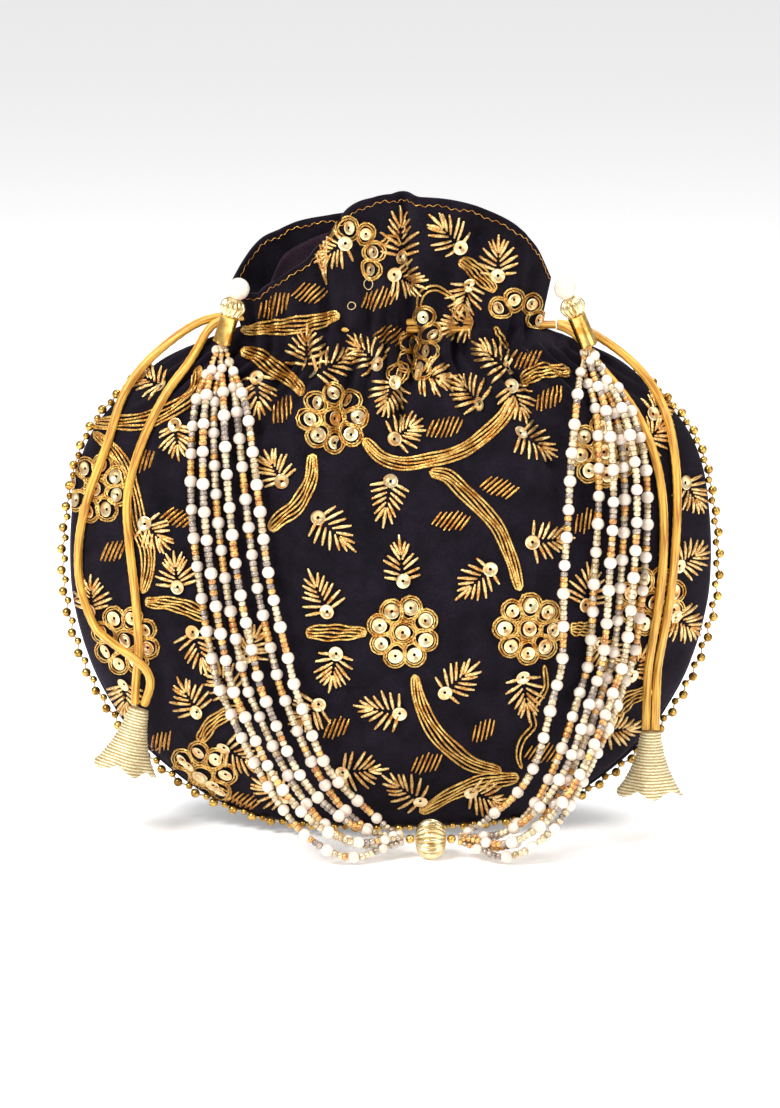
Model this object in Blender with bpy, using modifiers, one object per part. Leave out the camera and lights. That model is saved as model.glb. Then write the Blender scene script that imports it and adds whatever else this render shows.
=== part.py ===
# Potli bag: two round velvet panels sewn edge to edge and lined, gathered at the neck by two
# drawstrings, with a frill above, bead edging on the seam and a handle of twelve bead strands.
# Frame: metres, +Z up, +Y to the back, origin at the middle of the base on the standing surface.
import math

import bmesh
import bpy
import numpy as np
from mathutils import Matrix, Vector
from mathutils.bvhtree import BVHTree

MM = 0.001

# ---- pouch, in millimetres ----
# One line for each level, from the bottom seam up to the neck: half width and height and depth of
# the side seam, then the depth and height of the front panel's and the back panel's middle.
SECTIONS = (
    # half width, seam y, seam z, front y, front z, back y, back z
    (44.0, -15.0, 5.5, -23.0, 3.6, -23.0, 3.6),
    (61.0, -9.5, 11.0, -31.0, 14.0, -11.0, 0.0),
    (76.5, -5.0, 21.0, -38.5, 27.0, 2.0, 0.0),
    (91.0, -2.0, 36.0, -43.5, 43.0, 15.0, 0.0),
    (102.0, -0.5, 55.0, -46.0, 62.0, 28.0, 5.0),
    (107.7, 0.0, 75.0, -46.0, 80.0, 39.0, 22.0),
    (109.0, 0.0, 92.0, -44.5, 96.0, 45.0, 48.0),
    (108.0, 0.0, 110.0, -41.0, 112.0, 46.0, 79.0),
    (105.3, 0.0, 125.0, -36.5, 127.0, 42.0, 106.0),
    (99.3, 0.0, 138.0, -31.0, 139.5, 35.0, 128.0),
    (88.5, 0.0, 150.0, -25.0, 151.0, 27.0, 146.0),
    (77.2, 0.0, 160.0, -19.5, 160.5, 19.5, 160.0),
    (63.5, 0.0, 166.5, -15.5, 166.5, 15.5, 167.0),
    (50.5, 0.0, 171.5, -13.5, 172.0, 13.5, 172.0),
)
NECK_Z = 171.5
BELLY_CENTRE_Z = 90.0
BASE_SECTIONS = 3.4          # the back panel is flat underneath up to this section
BASE_FLATNESS = 0.09         # overshoot that is cut off to give the flat base
BASE_LEVELS = (1.0, 3.1)     # sections between which the middle of the back panel lies on the floor
LENS_POWER = 2.0             # panel section: depth = (1 - |x| ** power) ** edge
LENS_EDGE = 0.667

# ---- frill above the neck, in millimetres: x as a share of the hem's half width ----
HEM_HALF_WIDTH = 54.0
HEM_FRONT_X = (-1.0, -0.88, -0.67, -0.45, -0.32, -0.1, 0.3, 0.58, 0.82, 0.94, 1.0)
HEM_FRONT_Y = (0.0, -8.0, -14.0, -17.0, -18.5, -20.0, -20.0, -17.0, -11.0, -6.0, 0.0)
HEM_FRONT_Z = (186.0, 183.5, 191.0, 200.0, 211.0, 217.5, 217.5, 213.0, 205.0, 196.0, 188.0)
HEM_BACK_X = (-1.0, -0.89, -0.67, -0.37, 0.0, 0.37, 0.67, 0.89, 1.0)
HEM_BACK_Y = (0.0, 8.0, 13.5, 17.0, 18.0, 17.0, 13.5, 8.0, 0.0)
HEM_BACK_Z = (186.0, 196.0, 203.0, 207.0, 208.0, 208.0, 204.0, 196.0, 188.0)

# ---- cloth layers, in millimetres in from the outer face ----
PANEL_INNER = 1.5
LINING_OUTER = 2.6
LINING_INNER = 3.3
CASING_DEPTH = 5.0           # extra room at the neck, where the drawstrings run
CASING_HALF_HEIGHT = 9.0
HEM_CASING = 1.3             # the lining stands off the hem by this share of the casing's depth
MITRE = 1.8                  # how much deeper a layer starts at the seam's sharp edge
SEAM_GAP = 0.25
SLIT_GAP = 3.5               # half width of the drawstring slit in the side seam
SLIT_HALF_HEIGHT = 7.5
COLUMNS = 22
POUCH_ROWS = 20
FRILL_ROWS = 5
COLUMN_SPREAD = 1.0          # closes the columns up a little towards the seam

# ---- drawstrings and bells, in millimetres ----
CLEARANCE = 0.35
END_GAP = 0.3
CASING_CORD_RADIUS = 1.0
CASING_CORD_Z = {"left_drawstring": 174.6, "right_drawstring": 172.0}
CASING_CORD_OFFSET = 3.0
SLIT_EXIT = 1.9
TAIL_RADIUS = 1.4
TAIL_STEP = 7.0
TAILS = {
    "left_tail_inner": (
        (-55.2, -1.9, 174.6), (-59.5, -2.4, 173.8), (-65.0, 0.0, 164.0), (-74.0, 0.0, 153.0),
        (-79.7, 0.0, 143.0), (-85.5, 0.0, 129.0), (-88.6, 0.0, 115.0), (-87.9, 0.0, 105.0),
        (-85.8, 0.0, 86.0), (-84.6, 0.0, 68.0), (-85.9, -23.0, 54.0), (-86.2, -24.0, 46.4)),
    "left_tail_outer": (
        (-55.2, 1.9, 174.6), (-61.0, 1.6, 174.3), (-72.3, -1.0, 168.0), (-83.0, -3.0, 159.0),
        (-90.5, -4.0, 148.5), (-94.2, 0.0, 136.0), (-98.8, 0.0, 124.0), (-103.5, 0.0, 110.0),
        (-105.6, 0.0, 97.0), (-105.2, 0.0, 84.0), (-101.7, 0.0, 74.0), (-95.0, -20.0, 67.5),
        (-86.0, -29.0, 63.5), (-80.2, -31.0, 59.0), (-80.6, -27.5, 53.0), (-83.0, -24.0, 46.4)),
    "right_tail_inner": (
        (56.2, -1.9, 172.0), (60.5, -2.4, 171.4), (68.0, 0.0, 161.5), (75.2, 0.0, 154.0),
        (82.0, 0.0, 145.0), (86.6, 0.0, 136.0), (89.8, 0.0, 126.0), (91.6, 0.0, 112.0),
        (91.6, 0.0, 98.0), (90.4, 0.0, 82.0), (88.0, 0.0, 67.0), (86.6, -21.5, 52.0),
        (86.3, -23.0, 37.3)),
    "right_tail_outer": (
        (56.2, 1.9, 172.0), (62.0, 1.5, 172.0), (69.5, -2.0, 168.5), (76.5, -3.0, 164.0),
        (84.0, -4.0, 157.5), (89.5, -4.0, 150.0), (93.2, 0.0, 142.0), (95.8, 0.0, 128.0),
        (96.4, 0.0, 113.0), (95.6, 0.0, 98.0), (94.2, 0.0, 82.0), (91.6, 0.0, 67.0),
        (89.8, -21.5, 52.0), (89.4, -23.0, 37.3)),
}
BELLS = {"left_bell": ((-84.8, -24.0, 44.7), (-90.4, -26.0, 24.0)),
         "right_bell": ((87.85, -23.0, 36.7), (87.6, -24.0, 15.0))}
BELL_PROFILE = ((3.6, 0.0), (3.9, -3.0), (5.0, -8.0), (6.8, -13.0), (9.2, -18.0), (10.6, -20.5))
BELL_WALL = 0.8
BELL_TOP = 2.2
BELL_STEPS = 20

# ---- bead edging, in millimetres ----
EDGING_RADIUS = 1.2
EDGING_OFFSET = 2.5
EDGING_TOP_Z = 160.0

# ---- handle, in millimetres ----
PIVOT_Y = -12.0
PIVOT_Z = 186.0
HANGERS = {"left": ((-50.8, PIVOT_Y, PIVOT_Z), (-56.6, -12.2, 167.5)),
           "right": ((58.3, PIVOT_Y, PIVOT_Z), (66.4, -12.4, 166.6))}
PEARL_RADIUS = 3.75
CAP_RADIUS = 4.5
CAP_LENGTH = 6.0
TUBE_RADIUS = 3.1
TUBE_GAP = 0.9
CENTRE_BEAD = (13.4, -51.6)
CENTRE_BEAD_RADIUS = 6.8
CENTRE_BEAD_HALF_LENGTH = 5.2
SPACER_RADIUS = 1.5
STRAND_RADIUS = 1.35
STRAND_TIP_RADIUS = 0.5
STRAND_TAPER = 30.0
STRAND_STEP = 8.5
STRAND_LAYER = 3.1           # every other strand lies this much further out
TIP_COLUMN = 1.25            # the tips meet as three columns of two
TIP_LAYER = 0.7
# Routes of the outermost and the innermost strand; a depth of 0 means that it lies on the bag.
STRAND_ROUTES = {
    "left": (
        ((-64.8, 0.0, 151.0), (-66.5, 0.0, 131.0), (-66.1, 0.0, 111.0), (-64.1, 0.0, 94.0),
         (-60.0, 0.0, 67.0), (-51.2, -44.0, 43.0), (-39.3, -54.0, 23.0), (-26.0, -60.0, 8.0),
         (-11.0, -60.5, 1.8)),
        ((-48.5, 0.0, 151.0), (-45.4, 0.0, 132.0), (-42.7, 0.0, 112.0), (-40.3, 0.0, 95.0),
         (-34.5, 0.0, 70.0), (-28.0, -49.5, 48.0), (-20.0, -48.0, 29.0), (-12.0, -47.0, 17.0),
         (-4.0, -47.5, 9.5))),
    "right": (
        ((78.5, 0.0, 150.0), (85.0, 0.0, 131.0), (86.0, 0.0, 113.0), (85.2, 0.0, 95.0),
         (83.0, 0.0, 72.0), (75.0, -40.0, 48.0), (64.0, -52.0, 27.0), (51.0, -60.0, 9.0),
         (36.0, -60.5, 1.8)),
        ((62.0, 0.0, 150.0), (60.0, 0.0, 131.0), (59.0, 0.0, 113.0), (57.5, 0.0, 95.0),
         (57.5, 0.0, 72.0), (52.5, -46.0, 48.0), (47.0, -47.5, 29.0), (40.0, -47.0, 16.0),
         (31.0, -47.5, 9.0))),
}
STRAND_SPREAD = {"left": (0.0, 0.19, 0.37, 0.56, 0.8, 1.0),
                 "right": (0.0, 0.14, 0.29, 0.44, 0.62, 1.0)}

COLOURS = {   # linear red, green, blue, then metallic and roughness
    "velvet": ((0.013, 0.010, 0.016), 0.0, 0.9),
    "lining": ((0.025, 0.016, 0.022), 0.0, 0.8),
    "gold_bead": ((0.78, 0.52, 0.20), 1.0, 0.3),
    "satin": ((0.69, 0.36, 0.045), 0.0, 0.45),
    "brocade": ((0.80, 0.70, 0.43), 0.3, 0.5),
    "pearl": ((0.92, 0.84, 0.78), 0.0, 0.25),
    "glass_bead": ((0.68, 0.54, 0.34), 0.0, 0.2),
}


def clear_scene():
    for thing in list(bpy.data.objects):
        bpy.data.objects.remove(thing, do_unlink=True)


def make_material(name):
    colour, metallic, roughness = COLOURS[name]
    material = bpy.data.materials.new(name)
    material.use_nodes = True
    shader = material.node_tree.nodes["Principled BSDF"]
    shader.inputs["Base Color"].default_value = (*colour, 1.0)
    shader.inputs["Metallic"].default_value = metallic
    shader.inputs["Roughness"].default_value = roughness
    return material


def add_object(name, data, material):
    thing = bpy.data.objects.new(name, data)
    data.materials.append(material)
    collection.objects.link(thing)
    return thing


def smooth_curve(knots, values, places):
    """Cubic through the values at the knots, with Catmull-Rom slopes."""
    knots, values = np.asarray(knots, float), np.asarray(values, float)
    slopes = np.gradient(values, knots, axis=0)
    span = np.clip(np.searchsorted(knots, places) - 1, 0, len(knots) - 2)
    width = knots[span + 1] - knots[span]
    s = (places - knots[span]) / width
    if values.ndim > 1:
        s, width = s[:, None], width[:, None]
    start, end = values[span], values[span + 1]
    return ((2 * s ** 3 - 3 * s ** 2 + 1) * start + (s ** 3 - 2 * s ** 2 + s) * width * slopes[span]
            + (3 * s ** 2 - 2 * s ** 3) * end + (s ** 3 - s ** 2) * width * slopes[span + 1])


def smooth_step(value, low, high):
    share = np.clip((value - low) / (high - low), 0.0, 1.0)
    return share * share * (3.0 - 2.0 * share)


def unit(vectors):
    return vectors / np.maximum(np.linalg.norm(vectors, axis=-1, keepdims=True), 1e-9)


# ---- the sewn pouch ----

def inward_at_seam(seam):
    """Direction from a seam point into the bag: to the belly's centre, level at the neck."""
    centre = np.zeros_like(seam)
    rise = smooth_step(seam[..., 2], 155.0, NECK_Z)
    centre[..., 2] = BELLY_CENTRE_Z + (seam[..., 2] - BELLY_CENTRE_Z) * rise
    return unit(centre - seam)


def towards_front(inward):
    """The forward direction square to the inward one: from the seam onto the front panel."""
    forward = np.array((0.0, -1.0, 0.0))
    return unit(forward - inward * (inward @ forward)[..., None])


def pouch_sections(side, offset):
    """Seam points and middle points of each row, at a depth inside the outer face."""
    level = np.linspace(0.0, len(SECTIONS) - 1.0, POUCH_ROWS)
    table = smooth_curve(np.arange(len(SECTIONS)), SECTIONS, level)
    seam = table[:, 0:3].copy()
    middle = np.zeros_like(seam)
    middle[:, 1:3] = table[:, 3:5] if side < 0 else table[:, 5:7]
    if side > 0:
        middle[(level >= BASE_LEVELS[0]) & (level <= BASE_LEVELS[1]), 2] = 0.0
    run = unit(np.gradient(middle, axis=0))
    normal = np.stack((np.zeros(POUCH_ROWS), -side * run[:, 2], side * run[:, 1]), axis=1)
    normal[0] = inward_at_seam(middle[0]) * MITRE
    near_neck = 1.0 - smooth_step(abs(seam[:, 2] - NECK_Z), 0.0, CASING_HALF_HEIGHT)
    depth = offset(near_neck)[:, None]
    return level, seam + inward_at_seam(seam) * MITRE * depth, middle + normal * depth


def layer_grid(side, offset):
    """Points (row, column) of a panel's layer. side is -1 in front, +1 behind."""
    spread = np.sin(np.linspace(-1.0, 1.0, COLUMNS + 1) * COLUMN_SPREAD) / math.sin(COLUMN_SPREAD)
    bulge = (1.0 - abs(spread) ** LENS_POWER) ** LENS_EDGE
    level, seam, middle = pouch_sections(side, offset)
    flat = 1.0 + BASE_FLATNESS * smooth_step(level, 0.0, 1.0) * (level < BASE_SECTIONS) * (side > 0)
    share = np.minimum(1.0, flat[:, None] * bulge)[..., None]
    seam_row = np.repeat(seam[:, None, :], COLUMNS + 1, axis=1)
    seam_row[..., 0] = seam[:, 0:1] * spread
    middle_row = middle[:, None, :] * np.ones((1, COLUMNS + 1, 1))
    middle_row[..., 0] = seam_row[..., 0]
    pouch = seam_row + (middle_row - seam_row) * share

    knots, depth, height = ((HEM_FRONT_X, HEM_FRONT_Y, HEM_FRONT_Z) if side < 0
                            else (HEM_BACK_X, HEM_BACK_Y, HEM_BACK_Z))
    inset = offset(np.full(1, HEM_CASING))[0]
    hem = np.stack(((HEM_HALF_WIDTH - MITRE * inset) * spread,
                    smooth_curve(knots, depth, spread) * (1.0 - inset / HEM_HALF_WIDTH * 3.0),
                    smooth_curve(knots, height, spread) - inset), axis=1)
    climb = np.linspace(0.0, 1.0, FRILL_ROWS + 1)[1:, None, None]
    frill = pouch[-1] + (hem - pouch[-1]) * climb
    grid = np.concatenate((pouch, frill))

    # the sewn edges stand a little apart, and further apart at the drawstring slits
    edge = np.zeros(grid.shape[:2], bool)
    edge[0], edge[:, 0], edge[:, -1] = True, True, True
    slit = 1.0 - smooth_step(abs(grid[..., 2] - NECK_Z), SLIT_HALF_HEIGHT - 3.0, SLIT_HALF_HEIGHT)
    gap = SEAM_GAP + (SLIT_GAP - SEAM_GAP) * slit
    shift = towards_front(inward_at_seam(grid)) * gap[..., None] * -side
    return np.where(edge[..., None], grid + shift, grid)


def steady(depth):
    return lambda near_neck: np.full(len(near_neck), depth)


def with_casing(depth):
    return lambda near_neck: depth + CASING_DEPTH * near_neck


def shell_mesh(name, outer, inner, side):
    """Closed cloth shell between an outer and an inner grid of the same size."""
    rows, columns = outer.shape[:2]
    count = rows * columns
    points = np.concatenate((outer.reshape(-1, 3), inner.reshape(-1, 3))) * MM
    number = np.arange(count).reshape(rows, columns)
    quads = np.stack((number[:-1, :-1], number[:-1, 1:], number[1:, 1:], number[1:, :-1]), axis=-1)
    quads = quads.reshape(-1, 4)
    ring = np.concatenate((number[0, :-1], number[:-1, -1], number[-1, :0:-1], number[:0:-1, 0]))
    follow = np.roll(ring, -1)
    rim = np.stack((ring, ring + count, follow + count, follow), axis=1)
    faces = np.concatenate((quads, quads[:, ::-1] + count, rim))
    if side > 0:
        faces = faces[:, ::-1]
    mesh = bpy.data.meshes.new(name)
    mesh.from_pydata(points.tolist(), [], faces.tolist())
    mesh.shade_smooth()
    mesh.set_sharp_from_angle(angle=math.radians(50.0))
    return mesh


def build_pouch():
    for name, side in (("front", -1), ("back", 1)):
        outer = layer_grid(side, steady(0.0))
        inner = layer_grid(side, steady(PANEL_INNER))
        add_object(name + "_panel", shell_mesh(name + "_panel", outer, inner, side),
                   materials["velvet"])
        outer = layer_grid(side, with_casing(LINING_OUTER))
        inner = layer_grid(side, with_casing(LINING_INNER))
        add_object(name + "_lining", shell_mesh(name + "_lining", outer, inner, side),
                   materials["lining"])


# ---- cords, edging and strands ----

def even_points(path, step):
    """Points at equal distances of about one step along a path, both ends kept."""
    length = np.concatenate(((0.0,), np.cumsum(np.linalg.norm(np.diff(path, axis=0), axis=1))))
    places = np.linspace(0.0, length[-1], max(2, int(round(length[-1] / step))) + 1)
    return np.stack([np.interp(places, length, path[:, axis]) for axis in range(3)], axis=1), places


def smooth_path(route, samples=400):
    """Smooth curve through a route's own points."""
    route = np.asarray(route, float)
    chord = np.concatenate(((0.0,), np.cumsum(np.linalg.norm(np.diff(route, axis=0), axis=1))))
    return smooth_curve(chord, route, np.linspace(0.0, chord[-1], samples))


def add_tube(name, points, radius, material, taper=None):
    curve = bpy.data.curves.new(name, "CURVE")
    curve.dimensions = "3D"
    curve.bevel_depth = radius * MM
    curve.bevel_resolution = 2
    curve.use_fill_caps = True
    spline = curve.splines.new("POLY")
    spline.points.add(len(points) - 1)
    for index, point in enumerate(points):
        spline.points[index].co = (*(point * MM), 1.0)
        spline.points[index].radius = 1.0 if taper is None else taper[index]
    return add_object(name, curve, material)


def build_edging():
    """Thread of beads along the seam, from the left shoulder under the bag to the right one."""
    grid = 0.5 * (layer_grid(-1, steady(0.0)) + layer_grid(1, steady(0.0)))
    left, right = grid[1:POUCH_ROWS, 0][::-1], grid[1:POUCH_ROWS, -1]
    seam = np.concatenate((left[left[:, 2] < EDGING_TOP_Z], grid[0],
                           right[right[:, 2] < EDGING_TOP_Z]))
    outward = -inward_at_seam(seam)
    side_on = smooth_step(seam[:, 2], 4.0, 24.0)
    outward[:, 2] *= side_on
    outward[:, 1] -= 1.0 - side_on
    seam = smooth_path(seam + unit(outward) * EDGING_OFFSET)
    points, _ = even_points(seam, 8.0)
    add_tube("bead_edging", points, EDGING_RADIUS, materials["gold_bead"])


def build_casing_cords():
    """Each drawstring runs right round the neck and leaves by the slit on its own side."""
    for name, side in (("left_drawstring", -1.0), ("right_drawstring", 1.0)):
        front = layer_grid(-1, steady(CASING_CORD_OFFSET))[POUCH_ROWS - 1, 1:-1]
        back = layer_grid(1, steady(CASING_CORD_OFFSET))[POUCH_ROWS - 1, 1:-1]
        if side > 0:
            front, back = front[::-1], back[::-1]
        turn = np.array(((-side * 45.2, 0.0, 0.0),))
        exit_x = side * (54.6 if side < 0 else 55.6)
        path = np.concatenate((((exit_x, -SLIT_EXIT, 0.0), (side * 44.0, -SLIT_EXIT, 0.0)),
                               front[2:], turn, back[:1:-1],
                               ((side * 44.0, SLIT_EXIT, 0.0), (exit_x, SLIT_EXIT, 0.0))))
        path[:, 2] = CASING_CORD_Z[name]
        points, _ = even_points(smooth_path(path), 5.0)
        add_tube(name, points, CASING_CORD_RADIUS, materials["satin"])


def surface_of(names):
    """Search tree of the named objects as they are seen, for laying cords on them."""
    bpy.context.view_layer.update()
    graph = bpy.context.evaluated_depsgraph_get()
    points, faces = [], []
    for name in names:
        mesh = bpy.data.objects[name].evaluated_get(graph).to_mesh()
        start = len(points)
        points += [vertex.co.copy() for vertex in mesh.vertices]
        faces += [[start + corner for corner in face.vertices] for face in mesh.polygons]
    return BVHTree.FromPolygons(points, faces)


def lay_on(surface, path, radius, fixed=0):
    """Move a path forward where needed so that a tube of this radius clears the surface."""
    path = path.copy()
    radii = np.broadcast_to(radius, len(path))
    for index in range(fixed, len(path)):
        reach = (radii[index] + CLEARANCE) * MM
        point = Vector(path[index] * MM)
        hit = surface.ray_cast(Vector((point.x, -0.2, point.z)), Vector((0.0, 1.0, 0.0)))[0]
        if hit is not None and point.y > hit.y - reach:
            point.y = hit.y - reach
        for _ in range(60):
            nearest = surface.find_nearest(point)
            if nearest[3] >= reach:
                break
            point.y -= 0.2 * MM
        path[index] = np.array(point) / MM
    return path


def ease(path, rounds):
    """Even out a path's sharp changes, both ends kept."""
    path = path.copy()
    for _ in range(rounds):
        path[1:-1] = 0.5 * path[1:-1] + 0.25 * (path[:-2] + path[2:])
    return path


def laid_path(surface, route, radius, step):
    """Even points of a route laid on the surface, then eased and laid on it again."""
    fine, _ = even_points(smooth_path(route), 2.0)
    fine = ease(lay_on(surface, fine, radius, 3), 12)
    points, places = even_points(lay_on(surface, fine, radius, 3), step)
    return points, places


def build_tails():
    obstacles = ["front_panel", "back_panel", "bead_edging"]
    for name, route in TAILS.items():
        points, _ = laid_path(surface_of(obstacles), route, TAIL_RADIUS, TAIL_STEP)
        add_tube(name, points, TAIL_RADIUS, materials["satin"])
        if name.endswith("inner"):
            obstacles.append(name)
    return obstacles


def strand_route(side, index):
    """Strand by strand from the outermost to the innermost route, tips gathered in pairs."""
    outer, inner = (np.array(route) for route in STRAND_ROUTES[side])
    share = STRAND_SPREAD[side][index]
    route = outer + (inner - outer) * share
    column, layer = (index // 2 - 1) * TIP_COLUMN, (index % 2 * 2 - 1) * TIP_LAYER
    turn = 1.0 if side == "left" else -1.0
    start = np.array(HANGERS[side][1]) + (turn * column, -layer, -TUBE_GAP)
    lead = start + (turn * column, -layer, -5.0)
    reach = CENTRE_BEAD_HALF_LENGTH + 2.0 * (SPACER_RADIUS + END_GAP) + END_GAP
    end = np.array((CENTRE_BEAD[0] - turn * reach, CENTRE_BEAD[1] + column,
                    CENTRE_BEAD_RADIUS + layer))
    before = end + (-turn * 5.0, 1.2 * column, 0.8 * layer)
    lift = np.zeros_like(route)
    lift[:, 1] = -(index % 2) * STRAND_LAYER
    lift[-2:] = np.array(((0.0, -0.8, 1.0), (0.0, 0.0, 1.0))) * (index % 2) * STRAND_LAYER
    return np.concatenate(((start, lead), route + lift, (before, end)))


def build_strands(obstacles):
    surface = surface_of(obstacles)
    for side in ("left", "right"):
        for index in range(len(STRAND_SPREAD[side])):
            fine, _ = even_points(smooth_path(strand_route(side, index)), 2.0)
            rise = smooth_step(np.arange(len(fine)) * 2.0, 0.0, STRAND_TAPER)
            reach = (STRAND_TIP_RADIUS + (STRAND_RADIUS - STRAND_TIP_RADIUS) * rise
                     + (index % 2) * STRAND_LAYER * rise)
            fine = ease(lay_on(surface, fine, reach, 3), 12)
            fine = ease(lay_on(surface, fine, reach, 3), 2)
            points, places = even_points(fine, STRAND_STEP)
            near_end = np.minimum(places, places[-1] - places)
            tip = STRAND_TIP_RADIUS / STRAND_RADIUS
            taper = tip + (1.0 - tip) * smooth_step(near_end, 0.0, STRAND_TAPER)
            add_tube(f"{side}_strand_{index + 1}", points, STRAND_RADIUS,
                     materials["glass_bead"], taper)


# ---- turned pieces ----

def add_turned(name, profile, material, steps, place):
    """Turned solid from a profile that runs down its outer side, set in place by a matrix."""
    mesh = bpy.data.meshes.new(name)
    points = [(x * MM, 0.0, z * MM) for x, z in profile]
    mesh.from_pydata(points, [(i, i + 1) for i in range(len(points) - 1)], [])
    thing = add_object(name, mesh, material)
    screw = thing.modifiers.new("turn", "SCREW")
    screw.steps = screw.render_steps = steps
    screw.use_merge_vertices = True
    screw.merge_threshold = 0.00001
    thing.matrix_world = place
    return thing


def frame_along(start, end):
    """Matrix at the start whose -Z axis runs towards the end."""
    start, end = Vector(start) * MM, Vector(end) * MM
    turn = (start - end).to_track_quat("Z", "Y").to_matrix().to_4x4()
    return Matrix.Translation(start) @ turn


def build_bells():
    inside = [(max(x - BELL_WALL, 0.0), z) for x, z in BELL_PROFILE if z < -BELL_TOP]
    inside[-1] = (inside[-1][0], BELL_PROFILE[-1][1])
    profile = [(0.0, 0.0), *BELL_PROFILE, *inside[::-1], (0.0, inside[0][1])]
    for name, (top, bottom) in BELLS.items():
        add_turned(name, profile, materials["brocade"], BELL_STEPS, frame_along(top, bottom))


def build_hangers():
    """Pearl on the pivot, fluted cap and end tube, one under the other on each side."""
    for side, (top, bottom) in HANGERS.items():
        length = (Vector(bottom) - Vector(top)).length
        place = frame_along(top, bottom)
        ball = bmesh.new()
        bmesh.ops.create_uvsphere(ball, u_segments=16, v_segments=10, radius=PEARL_RADIUS * MM)
        mesh = bpy.data.meshes.new(side + "_pearl")
        ball.to_mesh(mesh)
        ball.free()
        mesh.shade_smooth()
        add_object(side + "_pearl", mesh, materials["pearl"]).matrix_world = place
        cap_top = -PEARL_RADIUS - END_GAP
        cap = [(0.0, cap_top), (2.2, cap_top), (3.6, cap_top - 0.9), (CAP_RADIUS, cap_top - 2.6),
               (CAP_RADIUS, cap_top - 3.6), (3.8, cap_top - CAP_LENGTH + 0.5),
               (3.2, cap_top - CAP_LENGTH), (0.0, cap_top - CAP_LENGTH)]
        add_turned(side + "_bead_cap", cap, materials["gold_bead"], 16, place)
        tube_top = cap_top - CAP_LENGTH - END_GAP
        tube = [(0.0, tube_top), (TUBE_RADIUS, tube_top), (TUBE_RADIUS, -length), (0.0, -length)]
        add_turned(side + "_end_tube", tube, materials["gold_bead"], 16, place)


def build_centre_bead():
    """Melon-shaped bead lying on the floor in front, a small round bead at each end."""
    centre = (CENTRE_BEAD[0], CENTRE_BEAD[1], CENTRE_BEAD_RADIUS)
    place = frame_along(centre, (centre[0] - 1.0, centre[1], centre[2]))
    arc = np.linspace(0.0, math.pi, 11)
    melon = [(CENTRE_BEAD_RADIUS * math.sin(a) ** 0.8, CENTRE_BEAD_HALF_LENGTH * math.cos(a))
             for a in arc]
    melon[0], melon[-1] = (0.0, CENTRE_BEAD_HALF_LENGTH), (0.0, -CENTRE_BEAD_HALF_LENGTH)
    add_turned("centre_bead", melon, materials["gold_bead"], 20, place)
    arc = np.linspace(0.0, math.pi, 7)
    small = [(SPACER_RADIUS * math.sin(a), SPACER_RADIUS * math.cos(a)) for a in arc]
    small[0], small[-1] = (0.0, SPACER_RADIUS), (0.0, -SPACER_RADIUS)
    reach = CENTRE_BEAD_HALF_LENGTH + END_GAP + SPACER_RADIUS
    for side, way in (("left", -1.0), ("right", 1.0)):
        spot = (centre[0] + way * reach, centre[1], centre[2])
        add_turned(side + "_spacer_bead", small, materials["gold_bead"], 12,
                   frame_along(spot, (spot[0] - 1.0, spot[1], spot[2])))


clear_scene()
collection = bpy.data.collections.new("potli_bag")
bpy.context.scene.collection.children.link(collection)
materials = {name: make_material(name) for name in COLOURS}
build_pouch()
build_edging()
build_casing_cords()
build_strands(build_tails())
build_bells()
build_hangers()
build_centre_bead()
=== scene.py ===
import math

import bpy
import numpy as np
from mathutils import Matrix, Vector
from mathutils.bvhtree import BVHTree


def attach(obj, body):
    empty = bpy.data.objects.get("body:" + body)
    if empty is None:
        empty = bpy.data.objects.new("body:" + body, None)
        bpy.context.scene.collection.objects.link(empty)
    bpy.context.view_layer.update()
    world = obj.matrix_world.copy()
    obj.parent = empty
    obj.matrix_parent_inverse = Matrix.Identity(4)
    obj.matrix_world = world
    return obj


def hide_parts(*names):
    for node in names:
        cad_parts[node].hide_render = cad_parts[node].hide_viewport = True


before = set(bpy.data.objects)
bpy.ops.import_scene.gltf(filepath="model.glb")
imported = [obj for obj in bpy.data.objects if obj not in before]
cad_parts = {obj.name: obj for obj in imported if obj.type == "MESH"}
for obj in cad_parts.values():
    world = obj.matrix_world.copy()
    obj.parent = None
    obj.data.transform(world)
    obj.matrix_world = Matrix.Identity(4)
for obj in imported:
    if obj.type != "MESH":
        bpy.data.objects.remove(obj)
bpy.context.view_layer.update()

mm = 0.001  # tables below are in millimetres, meshes in metres
viewTilt = math.radians(12.0)  # the embroidery is laid out square-on to this line of sight


# ---------- small sums on whole arrays ----------

def unit(v):  # v / |v|
    return v / np.maximum(np.linalg.norm(v, axis=-1, keepdims=True), 1e-12)


def smoothStep(value, low, high):  # 3t^2 - 2t^3 with t clamped between low and high
    t = np.clip((value - low) / (high - low), 0.0, 1.0)
    return t * t * (3.0 - 2.0 * t)


def throughPoints(knots, values, places):  # cubic Hermite through the values, Catmull-Rom slopes
    knots, values = np.asarray(knots, float), np.asarray(values, float)
    slopes = np.gradient(values, knots, axis=0)
    span = np.clip(np.searchsorted(knots, places) - 1, 0, len(knots) - 2)
    width = knots[span + 1] - knots[span]
    t = (places - knots[span]) / width
    if values.ndim > 1:
        t, width = t[:, None], width[:, None]
    return ((2 * t ** 3 - 3 * t ** 2 + 1) * values[span] + (t ** 3 - 2 * t ** 2 + t) * width * slopes[span]
            + (3 * t ** 2 - 2 * t ** 3) * values[span + 1] + (t ** 3 - t ** 2) * width * slopes[span + 1])


def runLength(path):  # distance along a path at each of its points
    return np.concatenate(((0.0,), np.cumsum(np.linalg.norm(np.diff(path, axis=0), axis=1))))


def resample(path, places):  # the path's points at these distances
    length = runLength(path)
    return np.stack([np.interp(places, length, path[:, k]) for k in range(path.shape[1])], axis=1)


def smoothRoute(route, samples=400):  # smooth curve through a route's own points
    route = np.asarray(route, float)
    chord = runLength(route)
    return throughPoints(chord, route, np.linspace(0.0, chord[-1], samples))


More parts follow.
